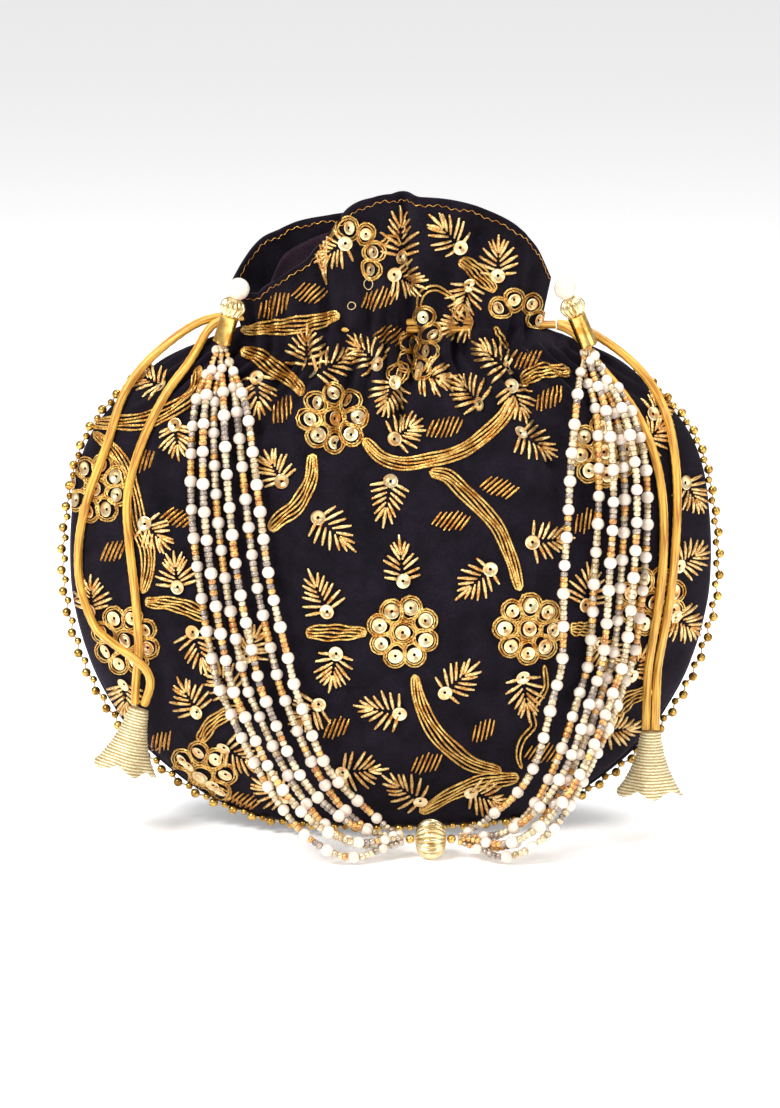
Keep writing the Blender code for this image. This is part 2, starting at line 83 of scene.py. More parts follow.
def evenPoints(path, step):  # points a step apart, both ends kept
    length = runLength(path)[-1]
    return resample(path, np.linspace(0.0, length, max(2, int(round(length / step))) + 1))


def ease(path, rounds):  # each point moves half way to the middle of its neighbours
    path = path.copy()
    for _ in range(rounds):
        path[1:-1] = 0.5 * path[1:-1] + 0.25 * (path[:-2] + path[2:])
    return path


# ---------- shapes: (points, quads, triangles) ----------

def lathe(profile, sides, flutes=0, depth=0.0, hollow=False):
    # point(i, a) = (r cos a, r sin a, z), r = r_i (1 - depth |sin(flutes a / 2)|); ends on the axis unless hollow
    profile = np.asarray(profile, float)
    body = profile if hollow else profile[1:-1]
    angle = np.linspace(0.0, 2.0 * math.pi, sides, endpoint=False)
    shrink = 1.0 - depth * (1.0 - abs(np.sin(flutes * angle / 2.0))) if flutes else np.ones(sides)
    r = body[:, 0:1] * shrink
    z = np.repeat(body[:, 1:2], sides, axis=1)
    points = np.stack((r * np.cos(angle), r * np.sin(angle), z), axis=-1).reshape(-1, 3)
    number = np.arange(len(points)).reshape(len(body), sides)
    after = np.roll(number, -1, axis=1)
    upper, lower = number[:-1], number[1:]
    quads = np.stack((upper, lower, np.roll(lower, -1, axis=1), after[:-1]), axis=-1).reshape(-1, 4)
    if hollow:
        close = np.stack((number[-1], number[0], after[0], after[-1]), axis=-1)
        return points, np.concatenate((quads, close)), np.zeros((0, 3), int)
    top, bottom = len(points), len(points) + 1
    points = np.concatenate((points, ((0.0, 0.0, profile[0, 1]), (0.0, 0.0, profile[-1, 1]))))
    tris = np.concatenate((np.stack((number[0], after[0], np.full(sides, top)), axis=-1),
                           np.stack((after[-1], number[-1], np.full(sides, bottom)), axis=-1)))
    return points, quads, tris


def ballProfile(radius, rings):  # half circle from pole to pole
    a = np.linspace(0.0, math.pi, rings + 1)
    return np.stack((radius * np.sin(a), radius * np.cos(a)), axis=1)


def stamp(shape, places, frames, sizes=1.0):
    # copies of a shape: place + size * (x X + y Y + z Z), frames holding X, Y, Z as rows
    points, quads, tris = shape
    count = len(places)
    sizes = np.broadcast_to(np.asarray(sizes, float), (count,))
    spread = np.einsum("kc,ncd->nkd", points, frames) * sizes[:, None, None]
    shift = (np.arange(count) * len(points))[:, None, None]
    return ((places[:, None, :] + spread).reshape(-1, 3), (quads[None] + shift).reshape(-1, 4),
            (tris[None] + shift).reshape(-1, 3))


def sweep(paths, normals, radius, sides):
    # round section carried along many paths: p + r (cos a S + sin a N), S across, N the given up
    paths = np.atleast_3d(paths) if paths.ndim == 3 else paths[None]
    normals = normals if normals.ndim == 3 else normals[None]
    count, steps = paths.shape[:2]
    along = unit(np.gradient(paths, axis=1))
    across = unit(np.cross(along, normals))
    up = np.cross(across, along)
    radius = np.broadcast_to(radius, (count, steps))[:, :, None, None]
    angle = np.linspace(0.0, 2.0 * math.pi, sides, endpoint=False)[None, None, :, None]
    ring = paths[:, :, None] + radius * (np.cos(angle) * across[:, :, None] + np.sin(angle) * up[:, :, None])
    points = np.concatenate((ring.reshape(count, -1, 3), paths[:, :1], paths[:, -1:]), axis=1)
    number = np.arange(steps * sides).reshape(steps, sides)
    after = np.roll(number, -1, axis=1)
    quads = np.stack((number[:-1], number[1:], after[1:], after[:-1]), axis=-1).reshape(-1, 4)
    first, last = steps * sides, steps * sides + 1
    tris = np.concatenate((np.stack((number[0], after[0], np.full(sides, first)), axis=-1),
                           np.stack((after[-1], number[-1], np.full(sides, last)), axis=-1)))
    shift = (np.arange(count) * points.shape[1])[:, None, None]
    return points.reshape(-1, 3), (quads[None] + shift).reshape(-1, 4), (tris[None] + shift).reshape(-1, 3)


def makePiece(name, shapes, mats, body, bevelAngle=60.0, place=None):
    # joins shapes, one material each, into one object at the origin; points in mm
    points = np.concatenate([s[0] for s in shapes])
    starts = np.cumsum([0] + [len(s[0]) for s in shapes[:-1]])
    quads = np.concatenate([s[1] + o for s, o in zip(shapes, starts)])
    tris = np.concatenate([s[2] + o for s, o in zip(shapes, starts)])
    index = np.concatenate([np.full(len(s[1]), i) for i, s in enumerate(shapes)]
                           + [np.full(len(s[2]), i) for i, s in enumerate(shapes)])
    mesh = bpy.data.meshes.new(name)
    mesh.vertices.add(len(points))
    mesh.vertices.foreach_set("co", (points * mm).ravel())
    mesh.loops.add(quads.size + tris.size)
    mesh.loops.foreach_set("vertex_index", np.concatenate((quads.ravel(), tris.ravel())))
    mesh.polygons.add(len(quads) + len(tris))
    begin = np.concatenate((np.arange(len(quads)) * 4, quads.size + np.arange(len(tris)) * 3))
    mesh.polygons.foreach_set("loop_start", begin)
    for material in mats:
        mesh.materials.append(material)
    mesh.update(calc_edges=True)
    mesh.polygons.foreach_set("material_index", np.minimum(index, len(mats) - 1))
    if place is not None:  # where each point lies on its cord: across, across, along
        attribute = mesh.attributes.new("cordPlace", "FLOAT_VECTOR", "POINT")
        attribute.data.foreach_set("vector", (place * mm).ravel())
    mesh.shade_smooth()
    mesh.set_sharp_from_angle(angle=math.radians(bevelAngle))
    piece = bpy.data.objects.new(name, mesh)
    bpy.context.scene.collection.objects.link(piece)
    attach(piece, body)
    return piece


# ---------- materials ----------

def fromHex(text):  # sRGB hex to linear RGBA
    c = np.array([int(text[i:i + 2], 16) / 255.0 for i in (1, 3, 5)])
    return (*np.where(c <= 0.04045, c / 12.92, ((c + 0.055) / 1.055) ** 2.4), 1.0)


def addNode(material, kind, values=None, links=None, **settings):
    node = material.node_tree.nodes.new(kind)
    for key, value in settings.items():
        setattr(node, key, value)
    for key, value in (values or {}).items():
        node.inputs[key].default_value = value
    for key, source in (links or {}).items():
        material.node_tree.links.new(source, node.inputs[key])
    return node


def newMaterial(name, **values):  # a Principled material; returns it, its shader and its coordinates
    material = bpy.data.materials.new(name)
    material.use_nodes = True
    shader = material.node_tree.nodes["Principled BSDF"]
    for key, value in values.items():
        label = {"colour": "Base Color", "sheen": "Sheen Weight", "sheenTint": "Sheen Tint",
                 "sheenRoughness": "Sheen Roughness", "coat": "Coat Weight",
                 "coatRoughness": "Coat Roughness", "specular": "Specular IOR Level"}.get(key, key.title())
        shader.inputs[label].default_value = fromHex(value) if isinstance(value, str) else value
    return material, shader, addNode(material, "ShaderNodeTexCoord")


def mixColours(material, factor, dark, light):  # two colours mixed by a factor socket
    mix = addNode(material, "ShaderNodeMix", links={"Factor": factor}, data_type="RGBA")
    mix.inputs[6].default_value, mix.inputs[7].default_value = fromHex(dark), fromHex(light)
    return mix.outputs[2]


def link(material, source, target):
    material.node_tree.links.new(source, target)


def addBump(material, shader, height, strength, depth, under=None):
    links = {"Height": height}
    if under is not None:
        links["Normal"] = under
    bump = addNode(material, "ShaderNodeBump", {"Strength": strength, "Distance": depth}, links)
    link(material, bump.outputs["Normal"], shader.inputs["Normal"])
    return bump.outputs["Normal"]


def silkVelvet(name, dark, light):
    # silk velvet, woven and cut to a 1 mm pile: swallows light face-on, glows softly at grazing angles
    material, shader, where = newMaterial(name, roughness=0.95, specular=0.1, sheen=0.3,
                                          sheenTint="#75697f", sheenRoughness=0.38)
    crush = addNode(material, "ShaderNodeTexNoise", {"Scale": 95.0, "Detail": 4.0, "Roughness": 0.6},
                    {"Vector": where.outputs["Object"]})  # pile brushed over in 10 mm patches
    pile = addNode(material, "ShaderNodeTexNoise", {"Scale": 2600.0, "Detail": 2.0},
                   {"Vector": where.outputs["Object"]})  # tufts about 0.4 mm
    shade = addNode(material, "ShaderNodeMath", links={0: crush.outputs["Fac"], 1: pile.outputs["Fac"]},
                    operation="MULTIPLY")
    spread = addNode(material, "ShaderNodeMapRange", {"From Min": 0.14, "From Max": 0.38},
                     {"Value": shade.outputs[0]})
    link(material, mixColours(material, spread.outputs[0], dark, light), shader.inputs["Base Color"])
    soft = addBump(material, shader, crush.outputs["Fac"], 0.25, 0.0012)
    addBump(material, shader, pile.outputs["Fac"], 0.55, 0.0004, soft)
    return material


def zariThread(name, dark, light):
    # zari, flat gilt strip wound on a thread: bright broken glints on a warm gold, with painted shade darker between
    # the turns and painted highlight lighter on them, over a random gold tone
    material, shader, where = newMaterial(name, metallic=0.85, roughness=0.36)
    turns = addNode(material, "ShaderNodeTexNoise", {"Scale": 1900.0, "Detail": 1.0},
                    {"Vector": where.outputs["Object"]})  # turns of about 0.5 mm
    tone = addNode(material, "ShaderNodeTexNoise", {"Scale": 330.0, "Detail": 3.0},
                   {"Vector": where.outputs["Object"]})
    # turn relief gives painted shade between turns and painted highlight on them; the tone adds random colour drift
    both = addNode(material, "ShaderNodeMath", links={0: turns.outputs["Fac"], 1: tone.outputs["Fac"]},
                   operation="ADD")
    spread = addNode(material, "ShaderNodeMapRange", {"From Min": 0.8, "From Max": 1.2},
                     {"Value": both.outputs[0]})
    link(material, mixColours(material, spread.outputs[0], dark, light), shader.inputs["Base Color"])
    addBump(material, shader, turns.outputs["Fac"], 0.8, 0.0004)
    return material


def stampedSequin(name, dark, light):
    # sequin, punched from gilt film: mirror-like disc, each of its own champagne tone
    material, shader, where = newMaterial(name, metallic=0.8, roughness=0.24, coat=0.3)
    tone = addNode(material, "ShaderNodeTexNoise", {"Scale": 260.0, "Detail": 2.0},
                   {"Vector": where.outputs["Object"]})
    spread = addNode(material, "ShaderNodeMapRange", {"From Min": 0.36, "From Max": 0.62},
                     {"Value": tone.outputs["Fac"]})
    link(material, mixColours(material, spread.outputs[0], dark, light), shader.inputs["Base Color"])
    addBump(material, shader, tone.outputs["Fac"], 0.35, 0.0008)
    return material


def satinCord(name, dark, light):
    # rattail cord, satin-woven over a core: long fine threads that catch the light along the cord; the colour
    # streaks along the threads are partly thread tone and partly painted sheen
    material, shader, where = newMaterial(name, roughness=0.42, specular=0.55, sheen=0.25,
                                          sheenTint="#ffe2a0", sheenRoughness=0.35)
    place = addNode(material, "ShaderNodeAttribute", attribute_name="cordPlace")
    stretch = addNode(material, "ShaderNodeMapping", {"Scale": (1600.0, 1600.0, 90.0)},
                      {"Vector": place.outputs["Vector"]})  # threads 0.6 mm wide, 11 mm long
    threads = addNode(material, "ShaderNodeTexNoise", {"Scale": 1.0, "Detail": 3.0},
                      {"Vector": stretch.outputs["Vector"]})
    # streaks along the threads: partly thread tone, partly painted sheen
    spread = addNode(material, "ShaderNodeMapRange", {"From Min": 0.38, "From Max": 0.62},
                     {"Value": threads.outputs["Fac"]})
    link(material, mixColours(material, spread.outputs[0], dark, light), shader.inputs["Base Color"])
    addBump(material, shader, threads.outputs["Fac"], 0.6, 0.0004)
    return material


def mottled(name, dark, light, scale, bump, **values):
    # a finish whose tone drifts between two colours at one scale, with a bump of the same pattern
    material, shader, where = newMaterial(name, **values)
    drift = addNode(material, "ShaderNodeTexNoise", {"Scale": scale, "Detail": 3.0},
                    {"Vector": where.outputs["Object"]})
    spread = addNode(material, "ShaderNodeMapRange", {"From Min": 0.38, "From Max": 0.62},
                     {"Value": drift.outputs["Fac"]})
    link(material, mixColours(material, spread.outputs[0], dark, light), shader.inputs["Base Color"])
    addBump(material, shader, drift.outputs["Fac"], bump, 0.0003)
    return material


velvetMat = silkVelvet("blackSilkVelvetWoven", "#09070b", "#1d1721")
velvetInside = silkVelvet("plumVelvetTurnedInside", "#150d13", "#35232f")
liningMat = mottled("plumSatinLiningWoven", "#20151c", "#33222c", 700.0, 0.2, roughness=0.5, sheen=0.3)
stemMat = zariThread("giltZariCordCouched", "#a9691f", "#f6d27c")
stitchMat = zariThread("giltBullionWireCoiled", "#b9772a", "#ffe3a0")
leafMat = zariThread("giltThreadStitched", "#9a5a1c", "#e9b45c")
sequinMat = stampedSequin("champagneSequinPunched", "#cf9a5c", "#f7e6b6")
satinMat = satinCord("goldenSatinCordWoven", "#a86a14", "#eebb4e")
# imitation pearl, lacquered glass: a soft glow under a clear skin
pearlMat = mottled("ivoryPearlLacquered", "#d9c6b4", "#eee0d0", 220.0, 0.03, roughness=0.24, coat=0.7,
                   coatRoughness=0.12, sheen=0.2)
# silver-lined glass seed beads: clear tinted glass over a bright mirror lining
champagneMat = mottled("champagneGlassSilverLined", "#a58c66", "#ead9b4", 420.0, 0.05, metallic=0.35,
                       roughness=0.16, coat=1.0)
amberMat = mottled("amberGlassSilverLined", "#b3702a", "#f3bf6a", 420.0, 0.05, metallic=0.4,
                   roughness=0.16, coat=1.0)
smokeMat = mottled("smokeGlassSilverLined", "#77695f", "#bfae9c", 420.0, 0.05, metallic=0.35,
                   roughness=0.18, coat=1.0)
threadMat = mottled("ivoryBeadThreadSpun", "#b49a6c", "#d9c294", 900.0, 0.1, roughness=0.7)
# gold-plated brass: polished, faintly uneven from the plating bath
goldMat = mottled("goldPlateElectroplated", "#c98f3c", "#f1cf7c", 300.0, 0.08, metallic=1.0, roughness=0.24)
paleGoldMat = mottled("paleGoldPlateElectroplated", "#cbb078", "#f3e6bd", 300.0, 0.06, metallic=0.9,
                      roughness=0.26)
oldGoldMat = mottled("oldGoldGlassBeadPlated", "#8a6226", "#e6bd62", 500.0, 0.1, metallic=0.9,
                     roughness=0.24)


def ribbedBrocade():
    # metallic brocade wound round a stiff cone: cream-gold weft ribs with brown shade between
    material, shader, where = newMaterial("paleGoldBrocadeWoven", metallic=0.25, roughness=0.5, sheen=0.2)
    place = addNode(material, "ShaderNodeAttribute", attribute_name="cordPlace")
    flecks = addNode(material, "ShaderNodeTexNoise", {"Scale": 1500.0, "Detail": 2.0},
                     {"Vector": where.outputs["Object"]})
    wind = addNode(material, "ShaderNodeTexWave", {"Scale": 320.0, "Distortion": 1.2, "Detail": 2.0,
                                                   "Detail Scale": 3.0},
                   {"Vector": place.outputs["Vector"]}, bands_direction="Z")  # ribs about 1 mm apart
    both = addNode(material, "ShaderNodeMath", links={0: wind.outputs["Fac"], 1: flecks.outputs["Fac"]},
                   operation="MULTIPLY")
    spread = addNode(material, "ShaderNodeMapRange", {"From Min": 0.05, "From Max": 0.5},
                     {"Value": both.outputs[0]})
    link(material, mixColours(material, spread.outputs[0], "#a98a4c", "#f3ebc6"),
         shader.inputs["Base Color"])
    addBump(material, shader, wind.outputs["Fac"], 0.6, 0.0003)
    return material


brocadeMat = ribbedBrocade()
print("materials ready")


# ---------- camera, light and floor ----------

stageSetup = {"distance": 1.7, "aimX": -0.0002, "aimZ": 0.093, "seenHeight": 0.3767, "sensor": 36.0,
              "lamps": (("keyLight", (-0.6, -0.7, 0.95), 0.5, 15.0), ("fillLight", (0.9, -0.7, 0.5), 0.8, 4.0),
                        ("topLight", (0.25, 0.2, 1.1), 0.6, 9.0)),
              "worldStrength": 0.5, "paperGlow": 0.3}


def setStage():
    aim = Vector((stageSetup["aimX"], 0.0, stageSetup["aimZ"]))
    back = Vector((0.0, -math.cos(viewTilt), math.sin(viewTilt)))
    data = bpy.data.cameras.new("camera")
    data.sensor_width = stageSetup["sensor"]
    data.lens = stageSetup["sensor"] * stageSetup["distance"] / stageSetup["seenHeight"]
    camera = bpy.data.objects.new("camera", data)
    camera.location = aim + back * stageSetup["distance"]
    camera.rotation_euler = (math.pi / 2.0 - viewTilt, 0.0, 0.0)
    bpy.context.scene.collection.objects.link(camera)
    bpy.context.scene.camera = camera
    for name, place, size, power in stageSetup["lamps"]:
        lamp = bpy.data.lights.new(name, "AREA")
        lamp.size, lamp.energy = size, power
        light = bpy.data.objects.new(name, lamp)
        light.location = place
        light.rotation_euler = (aim - Vector(place)).to_track_quat("-Z", "Y").to_euler()
        bpy.context.scene.collection.objects.link(light)
    world = bpy.data.worlds.new("studio")
    world.use_nodes = True
    world.node_tree.nodes["Background"].inputs["Color"].default_value = (1.0, 1.0, 1.0, 1.0)
    world.node_tree.nodes["Background"].inputs["Strength"].default_value = stageSetup["worldStrength"]
    bpy.context.scene.world = world
    bpy.context.scene.view_settings.view_transform = "Standard"
    mesh = bpy.data.meshes.new("floor")
    half = 3.0
    mesh.from_pydata([(-half, -half, 0), (half, -half, 0), (half, half, 0), (-half, half, 0)], [], [(0, 1, 2, 3)])
    floor = bpy.data.objects.new("floor", mesh)
    bpy.context.scene.collection.objects.link(floor)
    white, shader, where = newMaterial("whiteStudioPaper", roughness=0.9)
    grain = addNode(white, "ShaderNodeTexNoise", {"Scale": 400.0}, {"Vector": where.outputs["Object"]})
    link(white, mixColours(white, grain.outputs["Fac"], "#fafafa", "#ffffff"), shader.inputs["Base Color"])
    shader.inputs["Emission Color"].default_value = fromHex("#ffffff")  # lit from below like a light table
    shader.inputs["Emission Strength"].default_value = stageSetup["paperGlow"]
    mesh.materials.append(white)


setStage()
print("camera, light and floor ready")


# ---------- the sewn cloth ----------

bag = {
    "sections": (  # half width, seam y, z, front y, z, back y, z, from the bottom seam to the neck
        (44.0, -15.0, 5.5, -23.0, 3.6, -23.0, 3.6), (61.0, -9.5, 11.0, -31.0, 14.0, -11.0, 0.0),
        (76.5, -5.0, 21.0, -38.5, 27.0, 2.0, 0.0), (91.0, -2.0, 36.0, -43.5, 43.0, 15.0, 0.0),
        (102.0, -0.5, 55.0, -46.0, 62.0, 28.0, 5.0), (107.7, 0.0, 75.0, -46.0, 80.0, 39.0, 22.0),
        (109.0, 0.0, 92.0, -44.5, 96.0, 45.0, 48.0), (108.0, 0.0, 110.0, -41.0, 112.0, 46.0, 79.0),
        (105.3, 0.0, 125.0, -36.5, 127.0, 42.0, 106.0), (99.3, 0.0, 138.0, -31.0, 139.5, 35.0, 128.0),
        (88.5, 0.0, 150.0, -25.0, 151.0, 27.0, 146.0), (77.2, 0.0, 160.0, -19.5, 160.5, 19.5, 160.0),
        (63.5, 0.0, 166.5, -15.5, 166.5, 15.5, 167.0), (50.5, 0.0, 171.5, -13.5, 172.0, 13.5, 172.0)),
    "neckZ": 171.5, "bellyZ": 90.0, "baseSections": 3.4, "baseFlatness": 0.09, "lensEdge": 0.667,
    "hemHalfWidth": 54.0,
    "hemFront": ((-1.0, -0.88, -0.67, -0.45, -0.32, -0.1, 0.3, 0.58, 0.82, 0.94, 1.0),
                 (0.0, -8.0, -14.0, -17.0, -18.5, -20.0, -20.0, -17.0, -11.0, -6.0, 0.0),
                 (186.0, 183.5, 191.0, 200.0, 211.0, 217.5, 217.5, 213.0, 205.0, 196.0, 188.0)),
    "hemBack": ((-1.0, -0.89, -0.67, -0.37, 0.0, 0.37, 0.67, 0.89, 1.0),
                (0.0, 8.0, 13.5, 17.0, 18.0, 17.0, 13.5, 8.0, 0.0),
                (186.0, 196.0, 203.0, 207.0, 208.0, 208.0, 204.0, 196.0, 188.0)),
    "mitre": 1.8, "casingDepth": 5.0, "casingHalf": 9.0, "hemCasing": 0.8, "cloth": 1.2,
}
# creases of the cloth: x and z of both ends, depth (a ridge is negative), half width; all in mm
creases = (
    (4.0, 222.0, 7.0, 166.0, 5.2, 2.6), (-4.0, 212.0, -3.0, 174.0, -3.0, 3.4),
    (15.0, 208.0, 12.0, 174.0, -3.2, 4.0), (30.0, 204.0, 25.0, 168.0, 3.4, 3.6),
    (-17.0, 218.0, -10.0, 178.0, -3.4, 3.0), (-24.0, 204.0, -18.0, 172.0, 3.2, 3.0),
    (-36.0, 194.0, -30.0, 172.0, -2.0, 4.0), (42.0, 196.0, 38.0, 172.0, -2.6, 4.0),
    (10.0, 172.0, 3.0, 146.0, 3.6, 2.6), (14.0, 172.0, 16.0, 132.0, -2.6, 4.0),
    (22.0, 170.0, 30.0, 132.0, 3.2, 3.6), (30.0, 168.0, 42.0, 138.0, -2.6, 4.5),
    (38.0, 168.0, 54.0, 132.0, 3.4, 3.6), (47.0, 164.0, 66.0, 138.0, -2.2, 5.0),
    (-12.0, 170.0, -19.0, 136.0, 3.4, 3.0), (-3.0, 168.0, -4.0, 138.0, -2.6, 4.0),
    (-22.0, 169.0, -30.0, 140.0, -2.4, 4.0), (-30.0, 169.0, -44.0, 142.0, 3.0, 3.4),
    (-40.0, 167.0, -62.0, 148.0, 2.4, 4.0), (56.0, 134.0, 60.0, 112.0, 2.2, 6.0),
    (47.0, 130.0, 50.0, 108.0, -1.8, 6.0), (-50.0, 120.0, -58.0, 92.0, 1.6, 8.0),
    (8.0, 100.0, 22.0, 74.0, 1.5, 8.0), (70.0, 96.0, 64.0, 66.0, 1.8, 8.0),
    (-30.0, 84.0, -14.0, 52.0, 1.4, 8.0),
)


def inwardAtSeam(seam):  # unit vector from the seam to the belly's middle, level at the neck
    centre = np.zeros_like(seam)
    rise = smoothStep(seam[..., 2], 155.0, bag["neckZ"])
    centre[..., 2] = bag["bellyZ"] + (seam[..., 2] - bag["bellyZ"]) * rise
    return unit(centre - seam)


def clothFolds(x, z, side):
    # gathers cos(2 pi x / pitch) fading with exp(-((z - neck) / reach)^2), creases exp(-(d / w)^2), soft dents
    above = smoothStep(z, bag["neckZ"], 206.0)
    wander = 1.1 * np.sin(x / 11.0 + 0.7 * side) + 0.6 * np.sin(x / 5.3)
    neck = np.exp(-((z - bag["neckZ"]) / np.where(z > bag["neckZ"], 12.0, 9.0)) ** 2)
    fold = 1.1 * np.cos(2.0 * math.pi * x / 6.2 + wander) * neck
    lower = np.exp(-((z - 160.0) / 17.0) ** 2)
    fold += 1.3 * np.cos(2.0 * math.pi * x / 15.0 * (165.0 - 40.0) / np.maximum(205.0 - z, 40.0) + wander) * lower
    fold += above * (1.8 * np.sin(2.0 * math.pi * x / 31.0 + 0.9 + 1.4 * side) + 0.9 * np.sin(x / 3.1))
    fold += 0.8 * np.sin(x / 13.0 + z / 21.0) * np.sin(z / 12.0 - x / 29.0 + side)
    fold += 0.45 * np.sin(x / 5.1 - z / 9.0) * np.sin(z / 6.3 + x / 17.0)
    if side < 0:
        for x0, z0, x1, z1, depth, width in creases:
            t = np.clip(((x - x0) * (x1 - x0) + (z - z0) * (z1 - z0)) / ((x1 - x0) ** 2 + (z1 - z0) ** 2), 0, 1)
            away = np.hypot(x - x0 - t * (x1 - x0), z - z0 - t * (z1 - z0))
            fold -= depth * np.exp(-(away / width) ** 2)
    return fold


def clothLayer(side, inset, casing, rows, frillRows, columns):
    # rows of lens sections: seam + (middle - seam) (1 - u^2)^0.667, then ruled up to the hem, then folded
    level = np.linspace(0.0, len(bag["sections"]) - 1.0, rows)
    table = throughPoints(np.arange(len(bag["sections"])), bag["sections"], level)
    seam = table[:, 0:3].copy()
    middle = np.zeros_like(seam)
    middle[:, 1:3] = table[:, 3:5] if side < 0 else table[:, 5:7]
    run = unit(np.gradient(middle, axis=0))
    normal = np.stack((np.zeros(rows), -side * run[:, 2], side * run[:, 1]), axis=1)
    normal[0] = inwardAtSeam(middle[0]) * bag["mitre"]
    depth = inset + casing * (1.0 - smoothStep(abs(seam[:, 2] - bag["neckZ"]), 0.0, bag["casingHalf"]))
    seam = seam + inwardAtSeam(seam) * bag["mitre"] * depth[:, None]
    middle = middle + normal * depth[:, None]
    spread = np.sin(np.linspace(-1.0, 1.0, columns + 1)) / math.sin(1.0)
    bulge = (1.0 - spread ** 2) ** bag["lensEdge"]
    flat = 1.0 + bag["baseFlatness"] * smoothStep(level, 0, 1) * (level < bag["baseSections"]) * (side > 0)
    share = np.minimum(1.0, flat[:, None] * bulge)[..., None]
    from_ = np.repeat(seam[:, None, :], columns + 1, axis=1)
    from_[..., 0] = seam[:, 0:1] * spread
    to = middle[:, None, :] * np.ones((1, columns + 1, 1))
    to[..., 0] = from_[..., 0]
    pouch = from_ + (to - from_) * share
    knots, hemY, hemZ = bag["hemFront"] if side < 0 else bag["hemBack"]
    top = inset + bag["hemCasing"] * casing
    hem = np.stack(((bag["hemHalfWidth"] - bag["mitre"] * top) * spread,
                    throughPoints(knots, hemY, spread) * (1.0 - top / bag["hemHalfWidth"] * 3.0),
                    throughPoints(knots, hemZ, spread) - 0.6 * top), axis=1)
    climb = np.linspace(0.0, 1.0, frillRows + 1)[1:, None, None]
    grid = np.concatenate((pouch, pouch[-1] + (hem - pouch[-1]) * climb))
    outward = unit(np.cross(np.gradient(grid, axis=1), np.gradient(grid, axis=0))) * -side * -1.0
    outward *= np.where((outward[..., 1:2] * side).mean() > 0, 1.0, -1.0)
    hold = (1.0 - abs(spread) ** 8) * smoothStep(grid[..., 2], 5.0, 28.0)
    grid += outward * (clothFolds(grid[..., 0], grid[..., 2], side) * hold)[..., None]
    return grid


def gridShape(grid, flip):  # quads of a grid of points
    rows, columns = grid.shape[:2]
    number = np.arange(rows * columns).reshape(rows, columns)
    quads = np.stack((number[:-1, :-1], number[:-1, 1:], number[1:, 1:], number[1:, :-1]), axis=-1)
    quads = quads.reshape(-1, 4)
    return grid.reshape(-1, 3), quads[:, ::-1] if flip else quads, np.zeros((0, 3), int)


def addThickness(piece, thickness):  # cloth grows inwards from its outer face
    solid = piece.modifiers.new("clothThickness", "SOLIDIFY")
    solid.thickness, solid.offset = thickness * mm, -1.0
    solid.use_rim = True


frontGrid = clothLayer(-1, 0.0, 0.0, 150, 34, 190)
backGrid = clothLayer(1, 0.0, 0.0, 130, 30, 170)
frontShape, backShape = gridShape(frontGrid, False), gridShape(backGrid, True)
cloth = BVHTree.FromPolygons(
    [Vector(p) for p in frontShape[0]] + [Vector(p) for p in backShape[0]],
    frontShape[1].tolist() + (backShape[1] + len(frontShape[0])).tolist())
frontOnly = BVHTree.FromPolygons([Vector(p) for p in frontShape[0]], frontShape[1].tolist())


def dropOnCloth(flat):
    # pattern points (x, h) meet the front panel along the line of sight; gives places and cloth normals
    c, s = math.cos(viewTilt), math.sin(viewTilt)
    sight = Vector((0.0, c, -s))
    places, normals = [], []
    for x, h in flat.reshape(-1, 2):
        start = Vector((x, h * s - 200.0 * c, h * c + 200.0 * s))
        hit = frontOnly.ray_cast(start, sight)
        if hit[0] is None:
            hit = frontOnly.find_nearest(start + sight * 175.0)
        facing = hit[1] if hit[1].dot(sight) < 0 else -hit[1]
        places.append(hit[0])
        normals.append(facing)
    shape = flat.shape[:-1] + (3,)
    return np.array(places).reshape(shape), np.array(normals).reshape(shape)


def layOnBag(path, reach, keep=0):
    # a point nearer the cloth than its reach moves forward until it clears
    path = path.copy()
    reach = np.broadcast_to(reach, len(path))
    for i in range(keep, len(path)):
        x, y, z = path[i]
        hit = cloth.ray_cast(Vector((x, -200.0, z)), Vector((0.0, 1.0, 0.0)))[0]
        if hit is not None:
            y = min(y, hit.y - reach[i])
        for _ in range(40):
            if cloth.find_nearest(Vector((x, y, z)))[3] >= reach[i]:
                break
            y -= 0.25
        path[i, 1] = y
    return path


print("cloth surface worked out")


# ---------- drawstring tails and bead strands: routes as in the CAD ----------

